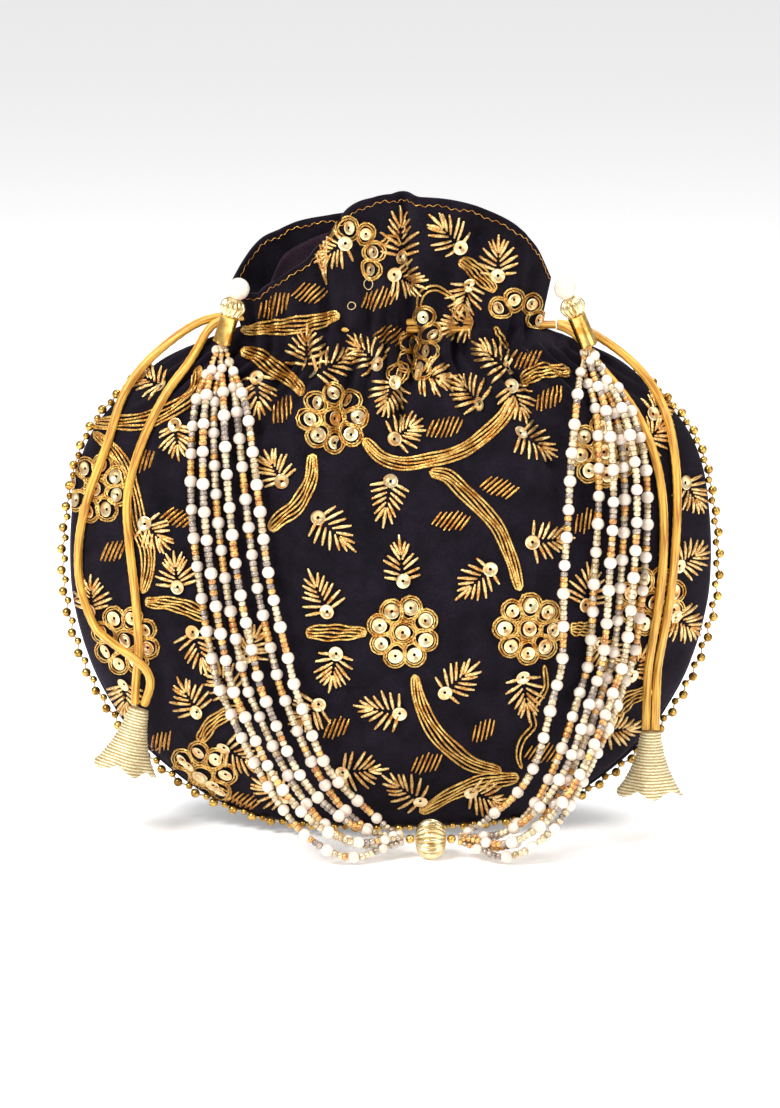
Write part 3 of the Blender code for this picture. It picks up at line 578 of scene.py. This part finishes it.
tails = {
    "radius": 1.45, "clear": 0.25,
    "routes": {
        "left_tail_inner": (
            (-55.2, -1.9, 174.6), (-59.5, -2.4, 173.8), (-65.0, 0.0, 164.0), (-74.0, 0.0, 153.0),
            (-79.7, 0.0, 143.0), (-85.5, 0.0, 129.0), (-88.6, 0.0, 115.0), (-87.9, 0.0, 105.0),
            (-85.8, 0.0, 86.0), (-84.6, 0.0, 68.0), (-85.9, -23.0, 54.0), (-86.2, -24.0, 46.4)),
        "left_tail_outer": (
            (-55.2, 1.9, 174.6), (-61.0, 1.6, 174.3), (-72.3, -1.0, 168.0), (-83.0, -3.0, 159.0),
            (-90.5, -4.0, 148.5), (-94.2, 0.0, 136.0), (-98.8, 0.0, 124.0), (-103.5, 0.0, 110.0),
            (-105.6, 0.0, 97.0), (-105.2, 0.0, 84.0), (-101.7, 0.0, 74.0), (-95.0, -20.0, 67.5),
            (-86.0, -29.0, 63.5), (-80.2, -31.0, 59.0), (-80.6, -27.5, 53.0), (-83.0, -24.0, 46.4)),
        "right_tail_inner": (
            (56.2, -1.9, 172.0), (60.5, -2.4, 171.4), (68.0, 0.0, 161.5), (75.2, 0.0, 154.0),
            (82.0, 0.0, 145.0), (86.6, 0.0, 136.0), (89.8, 0.0, 126.0), (91.6, 0.0, 112.0),
            (91.6, 0.0, 98.0), (90.4, 0.0, 82.0), (88.0, 0.0, 67.0), (86.6, -21.5, 52.0),
            (86.3, -23.0, 37.3)),
        "right_tail_outer": (
            (56.2, 1.9, 172.0), (62.0, 1.5, 172.0), (69.5, -2.0, 168.5), (76.5, -3.0, 164.0),
            (84.0, -4.0, 157.5), (89.5, -4.0, 150.0), (93.2, 0.0, 142.0), (95.8, 0.0, 128.0),
            (96.4, 0.0, 113.0), (95.6, 0.0, 98.0), (94.2, 0.0, 82.0), (91.6, 0.0, 67.0),
            (89.8, -21.5, 52.0), (89.4, -23.0, 37.3)),
    },
}
strands = {
    "starts": {"left": (-56.6, -12.2, 167.5), "right": (66.4, -12.4, 166.6)},
    "centre": (13.4, -51.6, 6.8), "endReach": 9.1, "layer": 3.1, "radius": 1.35, "tip": 0.5, "taper": 30.0,
    "routes": {
        "left": (
            ((-64.8, 0.0, 151.0), (-66.5, 0.0, 131.0), (-66.1, 0.0, 111.0), (-64.1, 0.0, 94.0),
             (-60.0, 0.0, 67.0), (-51.2, -44.0, 43.0), (-39.3, -54.0, 23.0), (-26.0, -60.0, 8.0),
             (-11.0, -60.5, 1.8)),
            ((-48.5, 0.0, 151.0), (-45.4, 0.0, 132.0), (-42.7, 0.0, 112.0), (-40.3, 0.0, 95.0),
             (-34.5, 0.0, 70.0), (-28.0, -49.5, 48.0), (-20.0, -48.0, 29.0), (-12.0, -47.0, 17.0),
             (-4.0, -47.5, 9.5))),
        "right": (
            ((78.5, 0.0, 150.0), (85.0, 0.0, 131.0), (86.0, 0.0, 113.0), (85.2, 0.0, 95.0),
             (83.0, 0.0, 72.0), (75.0, -40.0, 48.0), (64.0, -52.0, 27.0), (51.0, -60.0, 9.0),
             (36.0, -60.5, 1.8)),
            ((62.0, 0.0, 150.0), (60.0, 0.0, 131.0), (59.0, 0.0, 113.0), (57.5, 0.0, 95.0),
             (57.5, 0.0, 72.0), (52.5, -46.0, 48.0), (47.0, -47.5, 29.0), (40.0, -47.0, 16.0),
             (31.0, -47.5, 9.0))),
    },
    "spread": {"left": (0.0, 0.19, 0.37, 0.56, 0.8, 1.0), "right": (0.0, 0.14, 0.29, 0.44, 0.62, 1.0)},
    "pearl": 2.15, "seed": 1.32,
}


def strandPath(side, index):  # tips gathered in three columns of two, spread between two routes
    outer, inner = (np.array(r) for r in strands["routes"][side])
    route = outer + (inner - outer) * strands["spread"][side][index]
    column, layer = (index // 2 - 1) * 1.25, (index % 2 * 2 - 1) * 0.7
    turn = 1.0 if side == "left" else -1.0
    start = np.array(strands["starts"][side]) + (turn * column, -layer, -0.9)
    lead = start + (turn * column, -layer, -5.0)
    centre = strands["centre"]
    end = np.array((centre[0] - turn * strands["endReach"], centre[1] + column, centre[2] + layer))
    before = end + (-turn * 5.0, 1.2 * column, 0.8 * layer)
    lift = np.zeros_like(route)
    over = (index % 2) * strands["layer"]
    lift[:, 1] = -over
    lift[-2:] = np.array(((0.0, -0.8, 1.0), (0.0, 0.0, 1.0))) * over
    fine = evenPoints(smoothRoute(np.concatenate(((start, lead), route + lift, (before, end)))), 2.0)
    rise = smoothStep(np.arange(len(fine)) * 2.0, 0.0, strands["taper"])
    reach = strands["tip"] + (strands["pearl"] - strands["tip"] + over) * rise
    return ease(ease(layOnBag(fine, reach + 0.2, 3), 12), 2)


def pathFrames(path, up):  # rows X, Y, Z with Z along the path
    along = unit(np.gradient(path, axis=0))
    across = unit(np.cross(up, along))
    return np.stack((across, np.cross(along, across), along), axis=1)


pearlShape = lathe(ballProfile(1.0, 7), 10)
seedShape = lathe(((0.34, 0.5), (0.62, 0.66), (0.9, 0.5), (1.0, 0.0), (0.9, -0.5), (0.62, -0.66), (0.34, -0.5)), 9,
                  hollow=True)


def makeStrand(side, index, random):
    path = strandPath(side, index)
    length = runLength(path)[-1]
    forward = np.array((0.0, -1.0, 0.0))
    spots, kinds, sizes = [], [], []
    at = random.uniform(0.8, 9.0)
    if at > 4.0:
        spots, kinds, sizes = [1.2, 2.8], [1, 2], [1.2, 1.2]
    while at < length - 1.0:  # one pearl, then three or four seeds, touching
        spots.append(at)
        kinds.append(0)
        sizes.append(strands["pearl"] * random.uniform(0.92, 1.04))
        at += strands["pearl"] * 0.96
        tint = random.choice((1, 1, 1, 2, 2, 3), p=None)
        for _ in range(random.choice((3, 3, 4))):
            size = strands["seed"] * random.uniform(0.9, 1.08)
            at += size * 0.66
            if at > length - 0.6:
                break
            spots.append(at)
            kinds.append(tint if random.random_sample() < 0.75 else random.choice((1, 2, 3)))
            sizes.append(size)
            at += size * 0.66
        at += strands["pearl"] * 0.96
    spots, kinds, sizes = np.array(spots), np.array(kinds), np.array(sizes)
    near = np.minimum(spots, length - spots)
    places = resample(path, spots)
    fine = np.interp(spots, runLength(path), np.arange(len(path)))
    frames = pathFrames(path, forward)[np.clip(np.round(fine).astype(int), 0, len(path) - 1)]
    shapes = [sweep(path, np.tile(forward, (len(path), 1)), 0.42, 6)]
    crowd = 0.78 + 0.22 * smoothStep(near, 3.0, 16.0)
    for kind in range(4):
        chosen = kinds == kind
        shapes.append(stamp(pearlShape if kind == 0 else seedShape, places[chosen], frames[chosen],
                            sizes[chosen] * crowd[chosen]))
    name = f"{side}BeadStrand{index + 1}"
    piece = makePiece(name, shapes, (threadMat, pearlMat, champagneMat, amberMat, smokeMat), "handle")
    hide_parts(f"{side}_strand_{index + 1}")
    return piece


random = np.random.RandomState(7)
for side in ("left", "right"):
    for index in range(6):
        makeStrand(side, index, random)
print("bead strands strung")


def tubePlaces(path, radius, sides):  # the cordPlace attribute of one swept tube
    angle = np.linspace(0.0, 2.0 * math.pi, sides, endpoint=False)
    along = runLength(path)
    ring = np.stack((np.broadcast_to(radius * np.cos(angle), (len(path), sides)),
                     np.broadcast_to(radius * np.sin(angle), (len(path), sides)),
                     np.broadcast_to(along[:, None], (len(path), sides))), axis=-1).reshape(-1, 3)
    return np.concatenate((ring, ((0.0, 0.0, 0.0), (0.0, 0.0, along[-1]))))


def makeTail(name, route):
    radius = tails["radius"]
    fine = evenPoints(smoothRoute(route), 2.0)
    fine = ease(layOnBag(fine, radius + tails["clear"], 3), 10)
    path = evenPoints(smoothRoute(layOnBag(fine, radius + 0.1, 3)), 0.9)
    if name.endswith("outer"):  # the outer tail crosses over the inner one on its way to the bell
        path[:, 1] -= 0.2
    wobble = radius * (1.0 + 0.03 * np.sin(runLength(path) * 1.9))
    up = np.tile((0.0, -1.0, 0.0), (len(path), 1))
    piece = makePiece(name.split("_")[0] + "Tail" + name.split("_")[2].title(),
                      [sweep(path, up, wobble, 14)], (satinMat,), "bag",
                      place=tubePlaces(path, radius, 14))
    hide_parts(name)
    return piece, path


tailPieces = {name: makeTail(name, route) for name, route in tails["routes"].items()}
print("drawstring tails laid")


# ---------- bells ----------

bells = {
    "left": {"top": (-84.8, -24.0, 44.7), "bottom": (-90.4, -26.0, 24.0), "turn": 0.6},
    "right": {"top": (87.85, -23.0, 36.7), "bottom": (87.6, -24.0, 15.0), "turn": 1.9},
    "profile": ((0.0, 3.2), (1.2, 3.5), (3.5, 3.9), (8.0, 4.9), (13.0, 6.6), (18.0, 8.9), (20.6, 10.3)),
    "wall": 0.7, "waves": 5, "sides": 96, "rows": 64,
}


def alongFrame(start, end):  # rows X, Y, Z with -Z running from start to end
    z = unit(np.array(start, float) - np.array(end, float))
    x = unit(np.cross((0.0, 1.0, 0.0), z))
    return np.stack((x, np.cross(z, x), z))


def makeBell(side):
    # wound cone: r(s) + rib 0.16 cos(2 pi s / 1.25) + wave s^3 cos(5 a); its rim rises and falls with the wave
    setup = bells[side]
    down, wide = np.array(bells["profile"]).T
    depth = np.linspace(0.0, down[-1], bells["rows"])
    angle = np.linspace(0.0, 2.0 * math.pi, bells["sides"], endpoint=False)
    reach = (depth / down[-1])[:, None]
    wave = np.cos(bells["waves"] * angle + setup["turn"]) + 0.4 * np.cos(2.0 * angle + 1.0)
    layers = []
    for inward in (0.0, bells["wall"]):
        r = (throughPoints(down, wide, depth) - inward)[:, None] + 0.16 * np.cos(2 * math.pi * depth / 1.25)[:, None]
        r = r + 1.25 * reach ** 5 * wave
        z = -depth[:, None] - 1.1 * reach ** 8 * np.sin(bells["waves"] * angle + setup["turn"] + 0.5)
        layers.append(np.stack((r * np.cos(angle), r * np.sin(angle), z + 0.0 * r), axis=-1))
    inner = layers[1][::-1]
    inner = inner[:-6]  # the inside ends below the closed top
    rings = np.concatenate((layers[0], inner))
    count, sides = rings.shape[:2]
    number = np.arange(count * sides).reshape(count, sides)
    after = np.roll(number, -1, axis=1)
    quads = np.stack((number[:-1], number[1:], after[1:], after[:-1]), axis=-1).reshape(-1, 4)
    points = np.concatenate((rings.reshape(-1, 3), ((0.0, 0.0, 0.35), (0.0, 0.0, inner[-1, 0, 2]))))
    top, bottom = count * sides, count * sides + 1
    tris = np.concatenate((np.stack((number[0], after[0], np.full(sides, top)), axis=-1),
                           np.stack((after[-1], number[-1], np.full(sides, bottom)), axis=-1)))
    shape = stamp((points, quads, tris), np.array((setup["top"],)), alongFrame(setup["top"], setup["bottom"])[None])
    piece = makePiece(side + "Bell", [shape], (brocadeMat,), "bag", place=points)
    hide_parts(side + "_bell")
    return piece


for side in ("left", "right"):
    bell = makeBell(side)
    for part in ("inner", "outer"):
        name = f"{side}_tail_{part}"
        piece, path = tailPieces[name]
print("bells made")


# ---------- velvet panels and linings ----------


for name, shape, node, trueArea in (("frontVelvet", frontShape, "front_panel", frontGrid),
                                    ("backVelvet", backShape, "back_panel", backGrid)):
    piece = makePiece(name, [shape], (velvetMat,), "bag", 180.0)
    addThickness(piece, bag["cloth"])
    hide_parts(node)
for side, name, node in ((-1, "frontLining", "front_lining"), (1, "backLining", "back_lining")):
    grid = clothLayer(side, 2.6, bag["casingDepth"], 70, 16, 80)
    piece = makePiece(name, [gridShape(grid, side > 0)], (velvetInside,), "bag", 180.0)
    addThickness(piece, 0.7)
    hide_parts(node)
print("velvet and lining sewn")


# ---------- hem stitches and bead edging ----------

def hemStitches():
    # gold thread run along both hems, drop = 1.1 + 0.34 sin(2 pi s / 3.1) + 0.3 sin(2 pi s / 11.3)
    shapes = []
    for grid, flip, gap in ((frontGrid, 1.0, 0.35), (backGrid, 1.0, 0.35), (frontGrid, -1.0, 1.6),
                            (backGrid, -1.0, 1.6)):
        line, below = grid[-2], grid[-6]
        facing = unit(np.cross(np.gradient(grid, axis=1), np.gradient(grid, axis=0)))[-3]
        facing = facing * np.sign(facing[:, 1:2] * (-1.0 if grid is frontGrid else 1.0)) * flip
        base = line + facing * gap
        length = runLength(base)[-1]
        places = np.linspace(1.0, length - 1.0, int(length / 0.45))
        centre = resample(base, places)
        drop = unit(resample(below - line, places * runLength(below - line)[-1] / length))
        sway = 0.34 * np.sin(places * 2.0 * math.pi / 3.1) + 0.3 * np.sin(places * 2.0 * math.pi / 11.3)
        centre = centre + drop * (1.1 + sway)[:, None]
        shapes.append(sweep(centre, resample(facing, np.linspace(0, runLength(facing)[-1], len(places))), 0.13, 5))
    return makePiece("hemStitches", shapes, (leafMat,), "bag")


hemStitches()


edging = {"topZ": 160.0, "pitch": 3.55, "bigReach": 3.2, "smallReach": 1.9, "big": 1.6, "small": 1.25}


def makeEdging():
    # beads by turns far from and near to the seam, on one thread that zigzags between them
    level = np.linspace(0.0, len(bag["sections"]) - 1.0, 60)
    right = throughPoints(np.arange(len(bag["sections"])), bag["sections"], level)[:, 0:3]
    right = right[right[:, 2] < edging["topZ"]]
    left = (right * (-1.0, 1.0, 1.0))[::-1]
    line = np.concatenate((left[:-1], frontGrid[0][1:-1:4], right[1:]))
    outward = -inwardAtSeam(line)
    sideOn = smoothStep(line[:, 2], 4.0, 24.0)
    outward[:, 2] *= sideOn
    outward[:, 1] -= 1.0 - sideOn
    outward = unit(outward)
    fine = smoothRoute(line, 1600)
    reach = smoothRoute(outward, 1600)
    length = runLength(fine)[-1]
    spots = np.arange(1.5, length - 1.0, edging["pitch"])
    base = resample(fine, spots)
    share = np.interp(spots, runLength(fine), np.arange(len(fine))).astype(int)
    odd = (np.arange(len(spots)) % 2).astype(bool)
    loose = 1.0 - 0.5 * smoothStep(base[:, 2], 85.0, 125.0)
    away = (np.where(odd, edging["smallReach"], edging["bigReach"]) * loose)[:, None]
    places = base + unit(reach[share]) * away
    frames = pathFrames(places, np.array((0.0, -1.0, 0.0)))
    thread = evenPoints(smoothRoute(places, 2400), 1.1)
    shapes = [sweep(thread, np.tile((0.0, -1.0, 0.0), (len(thread), 1)), 0.3, 5),
              stamp(pearlShape, places[~odd], frames[~odd], edging["big"]),
              stamp(pearlShape, places[odd], frames[odd], edging["small"])]
    piece = makePiece("beadEdging", shapes, (threadMat, oldGoldMat, oldGoldMat), "bag")
    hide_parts("bead_edging")


makeEdging()
print("edging and hems sewn")


# ---------- embroidery: laid out in mm across (x) and up (h) on the front ----------

embroidery = {
    "flowers": ((-19, 136), (4, 65), (46, 66), (-89, 62), (-99, 113), (-64, 16), (71, 125), (88, 75)),
    "foldedFlowers": (  # centre, then the petals that the folds leave in sight
        ((-12, 191), ((-14.2, 199), (-8.2, 197.4), (-5.4, 191.5), (-6.4, 185.6))),
        ((8, 161), ((11.2, 170), (13.6, 164.6), (12.4, 158.6), (10.2, 152.6), (5.6, 155.4), (6.4, 161.6),
                    (2.4, 151.2))),
        ((42, 170), ((36.4, 173.4), (41.2, 176.2), (47.2, 175), (49.4, 169.6)))),
    "petals": 8, "petalReach": 8.1, "petalSize": 2.5, "centreSize": 2.5,
    "looseRings": ((-7.4, 180.8, 1.8), (-12.7, 173.7, 1.2)),
    "stems": (
        ((-50, 159), (-44, 157), (-39, 153), (-33, 149), (-29, 144)),
        ((-50, 166), (-39, 167), (-28, 168), (-17, 171)),
        ((-26, 124), (-26, 118), (-28, 112), (-31, 107), (-36, 103), (-40, 99)),
        ((-9, 129), (-3, 123), (3, 121), (13, 122), (23, 125), (31, 130), (37, 136), (41, 143)),
        ((13, 118), (18, 117), (24, 112), (31, 105), (36, 99), (39, 92), (43, 79)),
        ((-28, 65), (-18, 65), (-8, 65)),
        ((8, 51), (10, 41), (14, 33), (20, 26), (27, 21), (37, 18)),
        ((10, 4), (20, 10), (29, 14), (43, 16)),
        ((60, 66), (68, 66)),
        ((44, 149), (50, 152), (60, 152)),
        ((-101, 135), (-91, 135), (-81, 136), (-72, 140), (-66, 145), (-64, 154)),
        ((-100, 132), (-94, 127), (-89, 120), (-86, 110), (-84, 100), (-81, 92), (-81, 86), (-83, 78)),
        ((-82, 75), (-71, 74), (-61, 70)),
        ((-64, 28), (-61, 33), (-56, 37), (-49, 39)),
        ((76, 37), (80, 42), (88, 45)),
        ((23, 189), (28, 186), (32, 182), (35, 179))),
    "thinStems": (
        ((51, 54), (52, 47), (47, 38), (48, 34), (44, 29), (43, 23), (44, 19)),
        ((9, 172), (12, 179), (17, 179), (21, 176)),
        ((35, 167), (39, 160)), ((-3, 194), (0, 196), (3, 194))),
    "sprigs": (  # sequin, then the tip of the fan
        (-28, 154, -28, 165), (-25, 151, -13, 158), (-45, 150, -44, 139), (-4, 154, -12, 162),
        (1, 148, -1, 142), (10, 151, 17, 149), (1, 129, 8, 134), (0, 115, -2, 103), (-36, 115, -40, 122),
        (-24, 103, -14, 94), (30, 141, 22, 149), (43, 131, 53, 125), (47, 95, 58, 96), (33, 86, 24, 78),
        (4, 82, 3, 94), (-21, 72, -26, 83), (-18, 58, -20, 48), (3, 38, -9, 40), (18, 45, 27, 53),
        (44, 50, 46, 38), (-16, 18, -4, 19), (10, 8, 0, 15), (-36, 9, -44, 14), (-71, 80, -72, 89),
        (-66, 65, -62, 53), (-53, 45, -58, 52), (-65, 38, -70, 47), (-56, 26, -46, 20), (-90, 47, -90, 37),
        (-101, 72, -101, 80), (-72, 134, -71, 126), (-77, 147, -82, 150), (-82, 101, -77, 96),
        (23, 193, 15, 201), (36, 184, 36, 194), (26, 181, 24, 174), (27, 169, 20, 167),
        (-15, 194, -22, 190), (3, 190, 3, 203), (1, 184, 8, 181), (65, 74, 67, 86), (70, 61, 75, 53),
        (99, 115, 103, 109), (97, 87, 103, 91), (96, 70, 103, 65), (73, 31, 81, 32), (81, 50, 85, 58),
        (85, 128, 90, 133), (88, 138, 92, 143), (39, 153, 30, 160), (40, 147, 44, 137),
        (-24, 41, -31, 34), (-48, 57, -44, 65), (27, 11, 37, 7)),
    "leaves": ((-36, 139), (-39, 174), (-27, 178), (18, 133), (36, 113), (20, 102), (46, 156), (53, 143),
               (65, 102), (-18, 33), (12, 21), (31, 32), (-71, 103), (-83, 122), (-93, 92), (51, 24),
               (-50, 7), (-78, 27), (0, 164), (-4, 176)),
    "cordRadius": 0.4, "stitchRadius": 0.6, "leafRadius": 0.42,
}
random = np.random.RandomState(21)


def stitchShape(starts, ends, radius, bow, steps=7, sides=6):
    # straight stitches as tapered coils: r sqrt(sin(pi t)), lifted off the cloth by bow sin(pi t)
    t = np.linspace(0.0, 1.0, steps)
    flat = starts[:, None] + (ends - starts)[:, None] * t[None, :, None]
    places, normals = dropOnCloth(flat)
    arch = np.sin(math.pi * t)[None, :, None]
    places = places + normals * (0.35 * radius + bow * arch)
    thick = radius * (0.35 + 0.65 * np.sqrt(np.sin(math.pi * np.clip(t, 0.04, 0.96))))
    return sweep(places, normals, thick[None, :], sides)


def makeStems():
    # couched cords side by side: centre line +- offset * width(t), the width closing to a loop at both ends
    lines = []
    for bundle, offsets in ((embroidery["stems"], (-2.45, -1.25, 0.0, 1.2, 2.45)),
                            (embroidery["thinStems"], (-0.8, 0.8))):
        for points in bundle:
            centre = smoothRoute(points, 48)
            along = unit(np.gradient(centre, axis=0))
            across = np.stack((-along[:, 1], along[:, 0]), axis=1)
            t = np.linspace(0.0, 1.0, 48)
            width = np.clip(np.sin(math.pi * t), 0.0, 1.0) ** 0.22 * (0.95 + 0.12 * np.sin(5 * t + len(lines)))
            for offset in offsets:
                wave = 0.18 * np.sin(17 * t + offset * 3.0 + len(lines))
                lines.append(centre + across * (offset * width + wave)[:, None])
    places, normals = dropOnCloth(np.array(lines))
    places = places + normals * embroidery["cordRadius"] * 0.75
    shape = sweep(places, normals, embroidery["cordRadius"], 6)
    return makePiece("zariStems", [shape], (stemMat,), "bag")


def sequinShape():  # cupped disc with a hole: closed ring section
    return lathe(((0.22, -0.02), (0.5, 0.06), (0.84, 0.2), (1.0, 0.16), (0.97, 0.1), (0.6, 0.0), (0.24, -0.1)), 18,
                 hollow=True)


def makeFlowersAndSprigs():
    spots, sizes = [], []
    starts, ends, weights = [], [], []
    loops = []
    turn = np.linspace(0.0, 2.0 * math.pi, 24)

    def petal(place, centre, size):
        # egg-shaped double loop: (size + gap) (1.18 cos a towards the centre, (1 - 0.16 cos a) sin a)
        spots.append(place)
        sizes.append(size)
        way = np.array(centre, float) - place
        way = way / max(np.linalg.norm(way), 1e-6)
        side = np.array((-way[1], way[0]))
        for gap in (0.42, 1.12):
            reach = (size + gap) * (1.0 + random.uniform(-0.03, 0.03, 24))
            reach[-1] = reach[0]
            loops.append(np.array(place) + 0.3 * way + way * (1.18 * reach * np.cos(turn))[:, None]
                         + side * (reach * (1.0 - 0.16 * np.cos(turn)) * np.sin(turn))[:, None])

    for x, h in embroidery["flowers"]:
        tilt = random.uniform(0.0, 0.8)
        for k in range(embroidery["petals"]):
            a = tilt + 2.0 * math.pi * k / embroidery["petals"]
            reach = embroidery["petalReach"] * random.uniform(0.95, 1.05)
            petal((x + reach * math.cos(a), h + reach * math.sin(a)), (x, h),
                  embroidery["petalSize"] * random.uniform(0.92, 1.06))
        petal((x, h), (x + 1.0, h), embroidery["centreSize"])
    for centre, petals in embroidery["foldedFlowers"]:
        for place in petals:
            petal(place, centre, 2.2 * random.uniform(0.95, 1.05))
    for x0, h0, x1, h1 in embroidery["sprigs"]:
        base, tip = np.array((x0, h0), float), np.array((x1, h1), float)
        along = (tip - base) / np.linalg.norm(tip - base)
        across = np.array((-along[1], along[0]))
        reach = max(np.linalg.norm(tip - base), 9.0) * 1.08
        spots.append(tuple(base))
        sizes.append(2.45)
        for k in range(6):  # pairs of stitches, opening less towards the tip
            t = 0.02 + 0.15 * k
            root = base + along * reach * t * 0.8
            out = math.radians(78.0 - 11.0 * k) + random.uniform(-0.1, 0.1)
            size = (6.6 - 0.4 * abs(k - 1.5)) * random.uniform(0.82, 1.12)
            for hand in (-1.0, 1.0):
                way = along * math.cos(out) + across * hand * math.sin(out)
                starts.append(root + way * 0.8)
                ends.append(root + way * (0.8 + size))
        starts.append(base + along * reach * 0.7)
        ends.append(base + along * (reach + 2.5))
    places, normals = dropOnCloth(np.array(spots, float))
    level = unit(np.cross(normals, (0.0, 0.0, 1.0)))
    frames = np.stack((level, np.cross(normals, level), normals), axis=1)
    lean = random.uniform(-0.16, 0.16, (len(spots), 2))
    frames[:, 2] = unit(frames[:, 2] + frames[:, 0] * lean[:, :1] + frames[:, 1] * lean[:, 1:])
    frames[:, 0] = unit(np.cross(frames[:, 1], frames[:, 2]))
    frames[:, 1] = np.cross(frames[:, 2], frames[:, 0])
    disc = stamp(sequinShape(), places + normals * 0.55, frames, np.array(sizes))
    makePiece("sequins", [disc], (sequinMat,), "bag", 50.0)
    loopPlaces, loopNormals = dropOnCloth(np.array(loops))
    loopTube = sweep(loopPlaces + loopNormals * 0.42, loopNormals, 0.31, 5)
    rings = np.array([np.array(r[:2]) + r[2] * np.stack((np.cos(turn), np.sin(turn)), axis=1)
                      for r in embroidery["looseRings"]])
    ringPlaces, ringNormals = dropOnCloth(rings)
    looseTube = sweep(ringPlaces + ringNormals * 0.5, ringNormals, 0.16, 5)
    makePiece("petalLoops", [loopTube, looseTube], (stemMat, threadMat), "bag")
    makePiece("bullionStitches", [stitchShape(np.array(starts), np.array(ends), embroidery["stitchRadius"], 0.35)],
              (stitchMat,), "bag")


def makeLeaves():
    starts, ends = [], []
    for x, h in embroidery["leaves"]:
        lean, count = random.uniform(-0.5, 0.5), random.randint(5, 8)
        row = np.array((math.cos(lean), math.sin(lean)))
        slope = np.array((math.cos(lean + 1.1), math.sin(lean + 1.1)))
        for k in range(count):
            middle = np.array((x, h)) + row * (k - count / 2.0 + 0.5) * 1.6
            half = slope * (4.1 - 0.45 * abs(k - count / 2.0 + 0.5)) * random.uniform(0.85, 1.1)
            starts.append(middle - half)
            ends.append(middle + half)
    shape = stitchShape(np.array(starts), np.array(ends), embroidery["leafRadius"], 0.15, 6, 5)
    return makePiece("leafStitches", [shape], (leafMat,), "bag")


makeStems()
makeFlowersAndSprigs()
makeLeaves()
print("embroidery sewn")


# ---------- handle fittings ----------

fittings = {
    "left": ((-50.8, -12.0, 186.0), (-56.6, -12.2, 167.5)), "right": ((58.3, -12.0, 186.0), (66.4, -12.4, 166.6)),
    "pearl": 3.75, "cap": 4.4, "capLength": 6.4, "tube": 3.05,
    "centre": (13.4, -51.6, 6.8), "melon": 6.8, "melonHalf": 5.2, "spacer": 1.5,
}


def makeFittings():
    for side in ("left", "right"):
        top, bottom = (np.array(p) for p in fittings[side])
        frames = alongFrame(top, bottom)[None]
        length = np.linalg.norm(top - bottom)
        pearl = makePiece(side + "Pearl", [stamp(lathe(ballProfile(fittings["pearl"], 24), 40), top[None], frames)],
                          (pearlMat,), "handle")
        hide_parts(side + "_pearl")
        z = -fittings["pearl"] + 0.6
        r, cap = fittings["cap"], fittings["capLength"]
        dome = ((0.0, z), (1.4, z), (2.6, z - 0.5), (3.7, z - 1.4), (r, z - 2.8), (r, z - 3.8), (3.8, z - 5.0),
                (3.3, z - 5.7), (3.4, z - 6.1), (3.0, z - cap), (0.0, z - cap))
        cup = stamp(lathe(dome, 84, 12, 0.2), top[None], frames)
        piece = makePiece(side + "BeadCap", [cup], (paleGoldMat,), "handle", 40.0)
        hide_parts(side + "_bead_cap")
        z = z - cap - 0.1
        r = fittings["tube"]
        tube = ((0.0, z), (r - 0.3, z), (r + 0.12, z - 0.35), (r, z - 0.9), (r, -length + 0.9),
                (r + 0.12, -length + 0.35), (r - 0.3, -length), (0.0, -length + 0.6))
        piece = makePiece(side + "EndTube", [stamp(lathe(tube, 40), top[None], frames)], (goldMat,), "handle",
                          40.0)
        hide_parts(side + "_end_tube")
    centre = np.array(fittings["centre"])
    frames = alongFrame(centre, centre - (1.0, 0.0, 0.0))[None]
    a = np.linspace(0.0, math.pi, 25)
    melon = np.stack((fittings["melon"] * np.sin(a) ** 0.75, fittings["melonHalf"] * np.cos(a)), axis=1)
    piece = makePiece("melonBead", [stamp(lathe(melon, 160, 20, 0.12), centre[None], frames)], (paleGoldMat,),
                      "handle", 60.0)
    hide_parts("centre_bead")
    for side, way in (("left", -1.0), ("right", 1.0)):
        spot = centre + (way * (fittings["melonHalf"] + 0.2 + fittings["spacer"]), 0.0, 0.0)
        ball = stamp(lathe(ballProfile(fittings["spacer"], 12), 20), spot[None], frames)
        piece = makePiece(side + "SpacerBead", [ball], (goldMat,), "handle")
        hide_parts(side + "_spacer_bead")


makeFittings()


def makeDrawstring(side, height, exitX):
    # once round inside the casing: y = +-10.4 (1 - (x / 45.2)^2)^0.667, both ends leaving by one slit
    u = np.sin(np.linspace(-1.45, 1.45, 40)) / math.sin(1.45)
    across = 10.4 * (1.0 - np.clip(abs(u), 0.0, 1.0) ** 2) ** bag["lensEdge"]
    row = np.stack((u * 45.2 * -side, -across, np.full(40, height)), axis=1)[1:-1]
    start = np.array(((exitX, -1.9, height), (side * 44.0, -1.9, height)))
    back = row[::-1] * (1.0, -1.0, 1.0)
    turned = start[::-1] * (1.0, -1.0, 1.0)
    path = evenPoints(smoothRoute(np.concatenate((start, row[2:], ((-side * 45.2, 0.0, height),), back[:-2],
                                                  turned))), 1.5)
    up = np.tile((0.0, 0.0, 1.0), (len(path), 1))
    name = "left" if side < 0 else "right"
    piece = makePiece(name + "Drawstring", [sweep(path, up, 1.1, 12)], (satinMat,), "bag",
                      place=tubePlaces(path, 1.1, 12))
    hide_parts(name + "_drawstring")


makeDrawstring(-1.0, 174.6, -54.6)
makeDrawstring(1.0, 172.0, 55.6)
print("fittings made")
